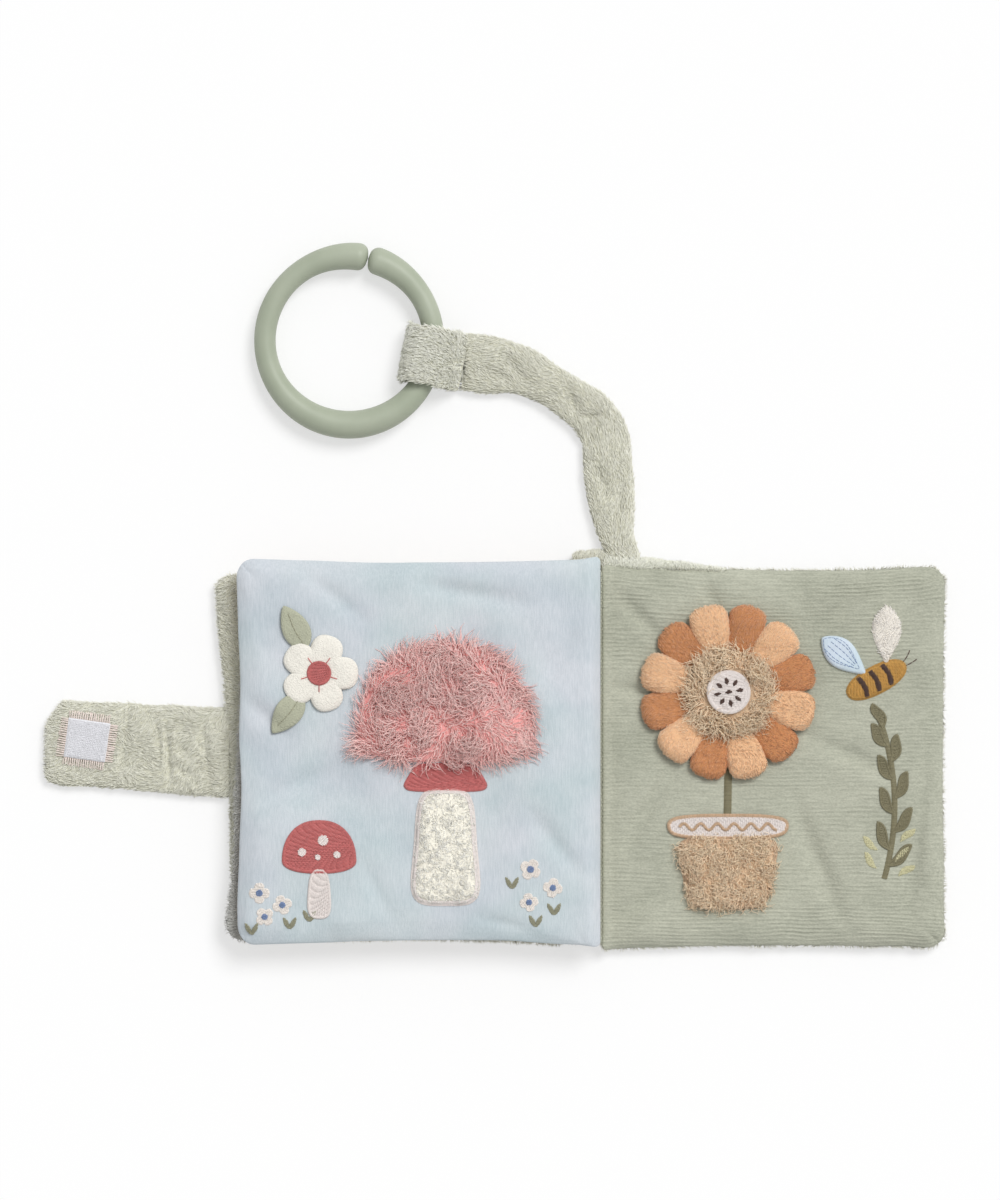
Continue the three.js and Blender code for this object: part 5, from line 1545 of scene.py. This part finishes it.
def panel_pile(name, cloth, panel, body, look, count, seed, free_band, side_band, length, curl):
    def to_edges(place):
        away = place[:, :2] - panel.middle
        return panel.half[0] - panel.out * away[:, 0], panel.half[1] - np.abs(away[:, 1])

    def inside(place):
        return np.minimum(*to_edges(place)) > EDGE_BAND

    def keep(place, normal):
        to_free, to_side = to_edges(place)
        edge = np.minimum(to_free / free_band, to_side / side_band)
        share = MIDDLE_SHARE + (1 - MIDDLE_SHARE) * smooth(2 - edge)
        chosen = np.random.default_rng(seed + 3).random(count) < share
        if panel.patch:
            low, high = box(panel.patch)
            chosen &= np.any((place[:, :2] < low[:2] - 0.6) | (place[:, :2] > high[:2] + 0.6), axis=1)
        return chosen

    def heading(place):
        to_free, to_side = to_edges(place)
        sideways = np.where(place[:, 1] > panel.middle[1], 90, -90)
        return np.where(inside(place), -90, np.where(to_side < to_free, sideways, 90 - 90 * panel.out))

    def spread(place):
        return np.where(inside(place), 80, 45)

    pile(name, mesh_arrays(cloth), look, body, count=count, length=length, seed=seed, heading=heading,
         spread=spread, field=8, keep=keep, curl=curl)


for row in PANEL_PILES:
    panel_pile(*row)


# Spine, seam tape, the strap's anchor, the hem and the loop patch
SPINE_OUTER = [(-7.6, 3.6), (-6.4, 1.5), (-3.0, 0.9), (1.5, 0.9), (4.6, 2.2), (6.2, 5.0), (6.7, 8.0)]
SPINE_INNER = [(-7.2, 4.4), (-4.5, 4.3), (0.0, 4.2), (3.6, 4.6), (5.4, 6.2), (6.3, 8.4)]
SEAM_X = 6.35
HEM_LINE = [(7.6, 73.6), (16, 73.4), (28, 72.9), (40, 71.9), (54, 70.8)]
LOOP_COUNT = 1500  # raised loops on the loop patch


def closed_ends(low, high, count):
    """Places along Y that crowd towards both ends, and how full a rounded body is at each."""
    roll = 1.4
    crowd = np.linspace(0, 1, 7, endpoint=False) ** 2 * roll
    along = np.concatenate([low + crowd, np.linspace(low + roll, high - roll, count), high - crowd[::-1]])
    return along, 0.03 + 0.97 * rounded(np.minimum(along - low, high - along), roll)


def spine_band(name, node, section, wall, seed, look):
    """A band of cloth along the spine: its section's middle line in X and Z, drawn along Y."""
    low, high = box("spine_inner", "spine_outer")
    line = spline(section, 30)
    along, full = closed_ends(low[1] + 0.3, high[1] - 0.3, count=116)
    tangent = unit(np.gradient(line, axis=0))
    out = np.column_stack([-tangent[:, 1], tangent[:, 0]])
    flat = np.vstack([line, line[::-1]]) + full[:, None, None] * (np.vstack([out, -out[::-1]]) * wall / 2)
    rings = np.stack([flat[..., 0], np.broadcast_to(along[:, None], flat.shape[:2]), flat[..., 1]], axis=-1)
    rings[..., 2] += 0.25 * noise(rings[..., 1], rings[..., 0], 9, seed)
    rings[..., 2] = np.maximum(rings[..., 2], 0.1)
    return ringed(name, rings, look, None, node, fill=0.2)


def make_spine():
    outer, surface = spine_band("spine_outer_cloth", "spine_outer", SPINE_OUTER, wall=1.3, seed=400,
                                look="sage_plush")
    nap = pile("spine_outer_pile", surface, "sage_pile", None, count=9000, length=1.3, seed=401, heading=180,
               spread=60, field=7, keep=lambda place, normal: normal[:, 2] < 0.2, lift=0.3, wild=0.2, clump=0)
    inner, _ = spine_band("spine_inner_cloth", "spine_inner", SPINE_INNER, wall=1.0, seed=404,
                          look="spine_lining")
    for piece in (outer, nap, inner):
        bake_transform(piece)


def make_seam_tape():
    """The tape that holds the leaves' and the covers' roots, overcast with thread."""
    low, high = box("seam_binding")
    around = turns_round(16)
    y, full = closed_ends(low[1] + 0.3, high[1] - 0.2, count=150)
    top = high[2] + 0.05 + 0.2 * noise(y, y * 0, 5, 410)
    foot = low[2] + 2.4
    rings = np.zeros((len(y), 16, 3))
    wander = 0.12 * noise(y, y * 0 + 9, 7, 411)[:, None]
    rings[..., 0] = SEAM_X + 0.5 * full[:, None] * np.cos(around) + wander
    rings[..., 1] = y[:, None]
    rings[..., 2] = (top[:, None] + foot) / 2 + (top[:, None] - foot) / 2 * np.sin(around)
    ringed("seam_tape", rings, "seam_tape", "front_cover", "seam_binding")
    places = np.arange(y[0] + 1, y[-1] - 1, 1.1)
    t = np.linspace(0, math.pi, 7)
    slant = np.where(np.arange(len(places)) % 2, 0.35, -0.35)
    paths = np.zeros((len(places), 7, 3))
    paths[..., 0] = SEAM_X - 0.75 * np.cos(t)
    paths[..., 1] = places[:, None] + slant[:, None] * np.cos(t)
    paths[..., 2] = np.interp(places, y, top)[:, None] - 0.8 + 0.9 * np.sin(t)
    tubes("seam_tape_threads", paths, 0.16, "seam_thread", "front_cover", sides=4)


def make_anchor():
    """The plush end of the strap where it is sewn into the spine's head."""
    low, high = box("strap_anchor")
    x = np.linspace(low[0] - 0.6, high[0] + 0.6, 60)
    middle = np.column_stack([x, np.full(60, (low[1] + high[1]) / 2 + 0.4)])
    half = (high[1] - low[1]) / 2 * (0.25 + 0.75 * rounded(np.minimum(x - x[0], x[-1] - x), 3.0)) + 0.3
    rings = soft_tube(middle, half, floor=low[2], thickness=high[2] - low[2] - 0.6, around=40, seed=420)
    _, surface = ringed("strap_anchor_cloth", rings, "sage_plush", "front_cover", "strap_anchor", fill=0.3)
    pile("strap_anchor_pile", surface, "sage_pile", "front_cover", count=2600, length=1.6, seed=421,
         heading=90, spread=60, field=6)


def make_hem():
    """The outer plush, rolled over the ribbed page's upper edge beside the strap."""
    share = np.linspace(0, 1, 90)
    half = 2.0 * (1 - share**2) * np.sqrt(np.clip(share / 0.05, 0, 1)) + 0.3
    rings = soft_tube(spline(HEM_LINE, 90), half, floor=1.6, thickness=4.2, around=32, seed=435, edge=0.3)
    _, surface = ringed("back_cover_hem", rings, "hem_plush", "back_cover")
    pile("back_cover_hem_pile", surface, "hem_pile", "back_cover", count=4200, length=1.2, seed=436,
         heading=85, spread=50, field=6, thickness=0.38, clump_size=1.2)


def make_loop_patch():
    """The soft half of the closure, under the back cover: a tape with small raised loops."""
    low, high = box("loop_patch")
    middle, half = (low + high)[:2] / 2, (high - low)[:2] / 2
    x, y = np.meshgrid(np.linspace(-half[0], half[0], 30), np.linspace(-half[1], half[1], 26))
    level = high[2] - 0.05 - 0.06 * noise(x, y, 3, 430)
    points = np.stack([x + middle[0], y + middle[1], level], axis=-1)
    mesh_piece("loop_tape", points, grid_quads(26, 30)[:, ::-1], "loop_tape", "back_cover", "loop_patch")
    rng = np.random.default_rng(431)
    roots = rng.uniform(-1, 1, (LOOP_COUNT, 2)) * (half - 0.6) + middle
    turn = rng.uniform(0, 2 * math.pi, (LOOP_COUNT, 1))
    t = np.linspace(0, math.pi, 6)
    paths = np.zeros((LOOP_COUNT, 6, 3))
    paths[..., 0] = roots[:, :1] + 0.45 * np.cos(turn) * np.cos(t)
    paths[..., 1] = roots[:, 1:] + 0.45 * np.sin(turn) * np.cos(t)
    paths[..., 2] = high[2] - 0.05 - 0.38 * np.sin(t)
    tubes("loop_tape_loops", paths, 0.05, "loop_tape", "back_cover")
    path = resample(np.array([[-1, -1], [1, -1], [1, 1], [-1, 1]]) * (half - 0.9) + middle, 2.2)
    share = np.linspace(0.08, 0.92, 5)[None, :, None]
    flat = path[:, None] * (1 - share) + np.roll(path, -1, axis=0)[:, None] * share
    stitches = np.concatenate([flat, np.full((*flat.shape[:2], 1), 0.12)], axis=-1)
    tubes("loop_tape_threads", stitches, 0.1, "pink_thread", "back_cover", sides=4)


make_spine()
make_seam_tape()
make_anchor()
make_hem()
make_loop_patch()


# Table, light and camera
VIEW_HEIGHT = 459.6
VIEW_CENTRE = (-32.06, 59.4)
CAMERA_HEIGHT = 2500.0
TABLE_SIZE = 12000.0
TABLE_GLOW = 0.55  # how much of a plain white the camera sees on it
SKY_LIGHT = 0.52
SUN_LIGHT = 2.0
SUN_SPREAD = 26  # degrees across
SUN_FROM = (0.46, 0.56, 1.0)


def make_table():
    look = Look("pale_table", None, 0.9, specular=0.0)
    look.colour(srgb(250, 250, 250))
    white, mix = look.add("Emission"), look.add("MixShader")
    seen = look.add("Math")
    seen.operation = "MULTIPLY"
    seen.inputs[1].default_value = TABLE_GLOW
    output = look.tree.nodes["Material Output"]
    for source, target in (
        (look.add("LightPath").outputs["Is Camera Ray"], seen.inputs[0]),
        (seen.outputs[0], mix.inputs[0]),
        (look.shader.outputs[0], mix.inputs[1]),
        (white.outputs[0], mix.inputs[2]),
        (mix.outputs[0], output.inputs["Surface"]),
    ):
        look.tree.links.new(source, target)
    corners = np.array([(-1, -1, 0), (1, -1, 0), (1, 1, 0), (-1, 1, 0)]) * TABLE_SIZE / 2
    table = mesh_piece("table", corners, [[0, 1, 2, 3]], "pale_table", None)
    table.location.z = -0.0002


def make_light():
    world = bpy.data.worlds.new("studio")
    bpy.context.scene.world = world
    world.use_nodes = True
    background = world.node_tree.nodes["Background"]
    background.inputs["Color"].default_value = (1.0, 1.0, 1.0, 1.0)
    background.inputs["Strength"].default_value = SKY_LIGHT
    lamp = bpy.data.lights.new("window", "SUN")
    lamp.energy = SUN_LIGHT
    lamp.angle = math.radians(SUN_SPREAD)
    window = bpy.data.objects.new("window", lamp)
    bpy.context.scene.collection.objects.link(window)
    window.rotation_euler = Vector(SUN_FROM).to_track_quat("Z", "Y").to_euler()


def make_camera():
    camera = bpy.data.cameras.new("camera")
    camera.sensor_width = 36
    camera.lens = camera.sensor_width * CAMERA_HEIGHT / VIEW_HEIGHT
    camera.clip_end = 100
    made = bpy.data.objects.new("camera", camera)
    bpy.context.scene.collection.objects.link(made)
    made.location = Vector((*VIEW_CENTRE, CAMERA_HEIGHT)) * MM
    bpy.context.scene.camera = made


make_table()
make_light()
make_camera()
bpy.context.scene.view_settings.view_transform = "Standard"
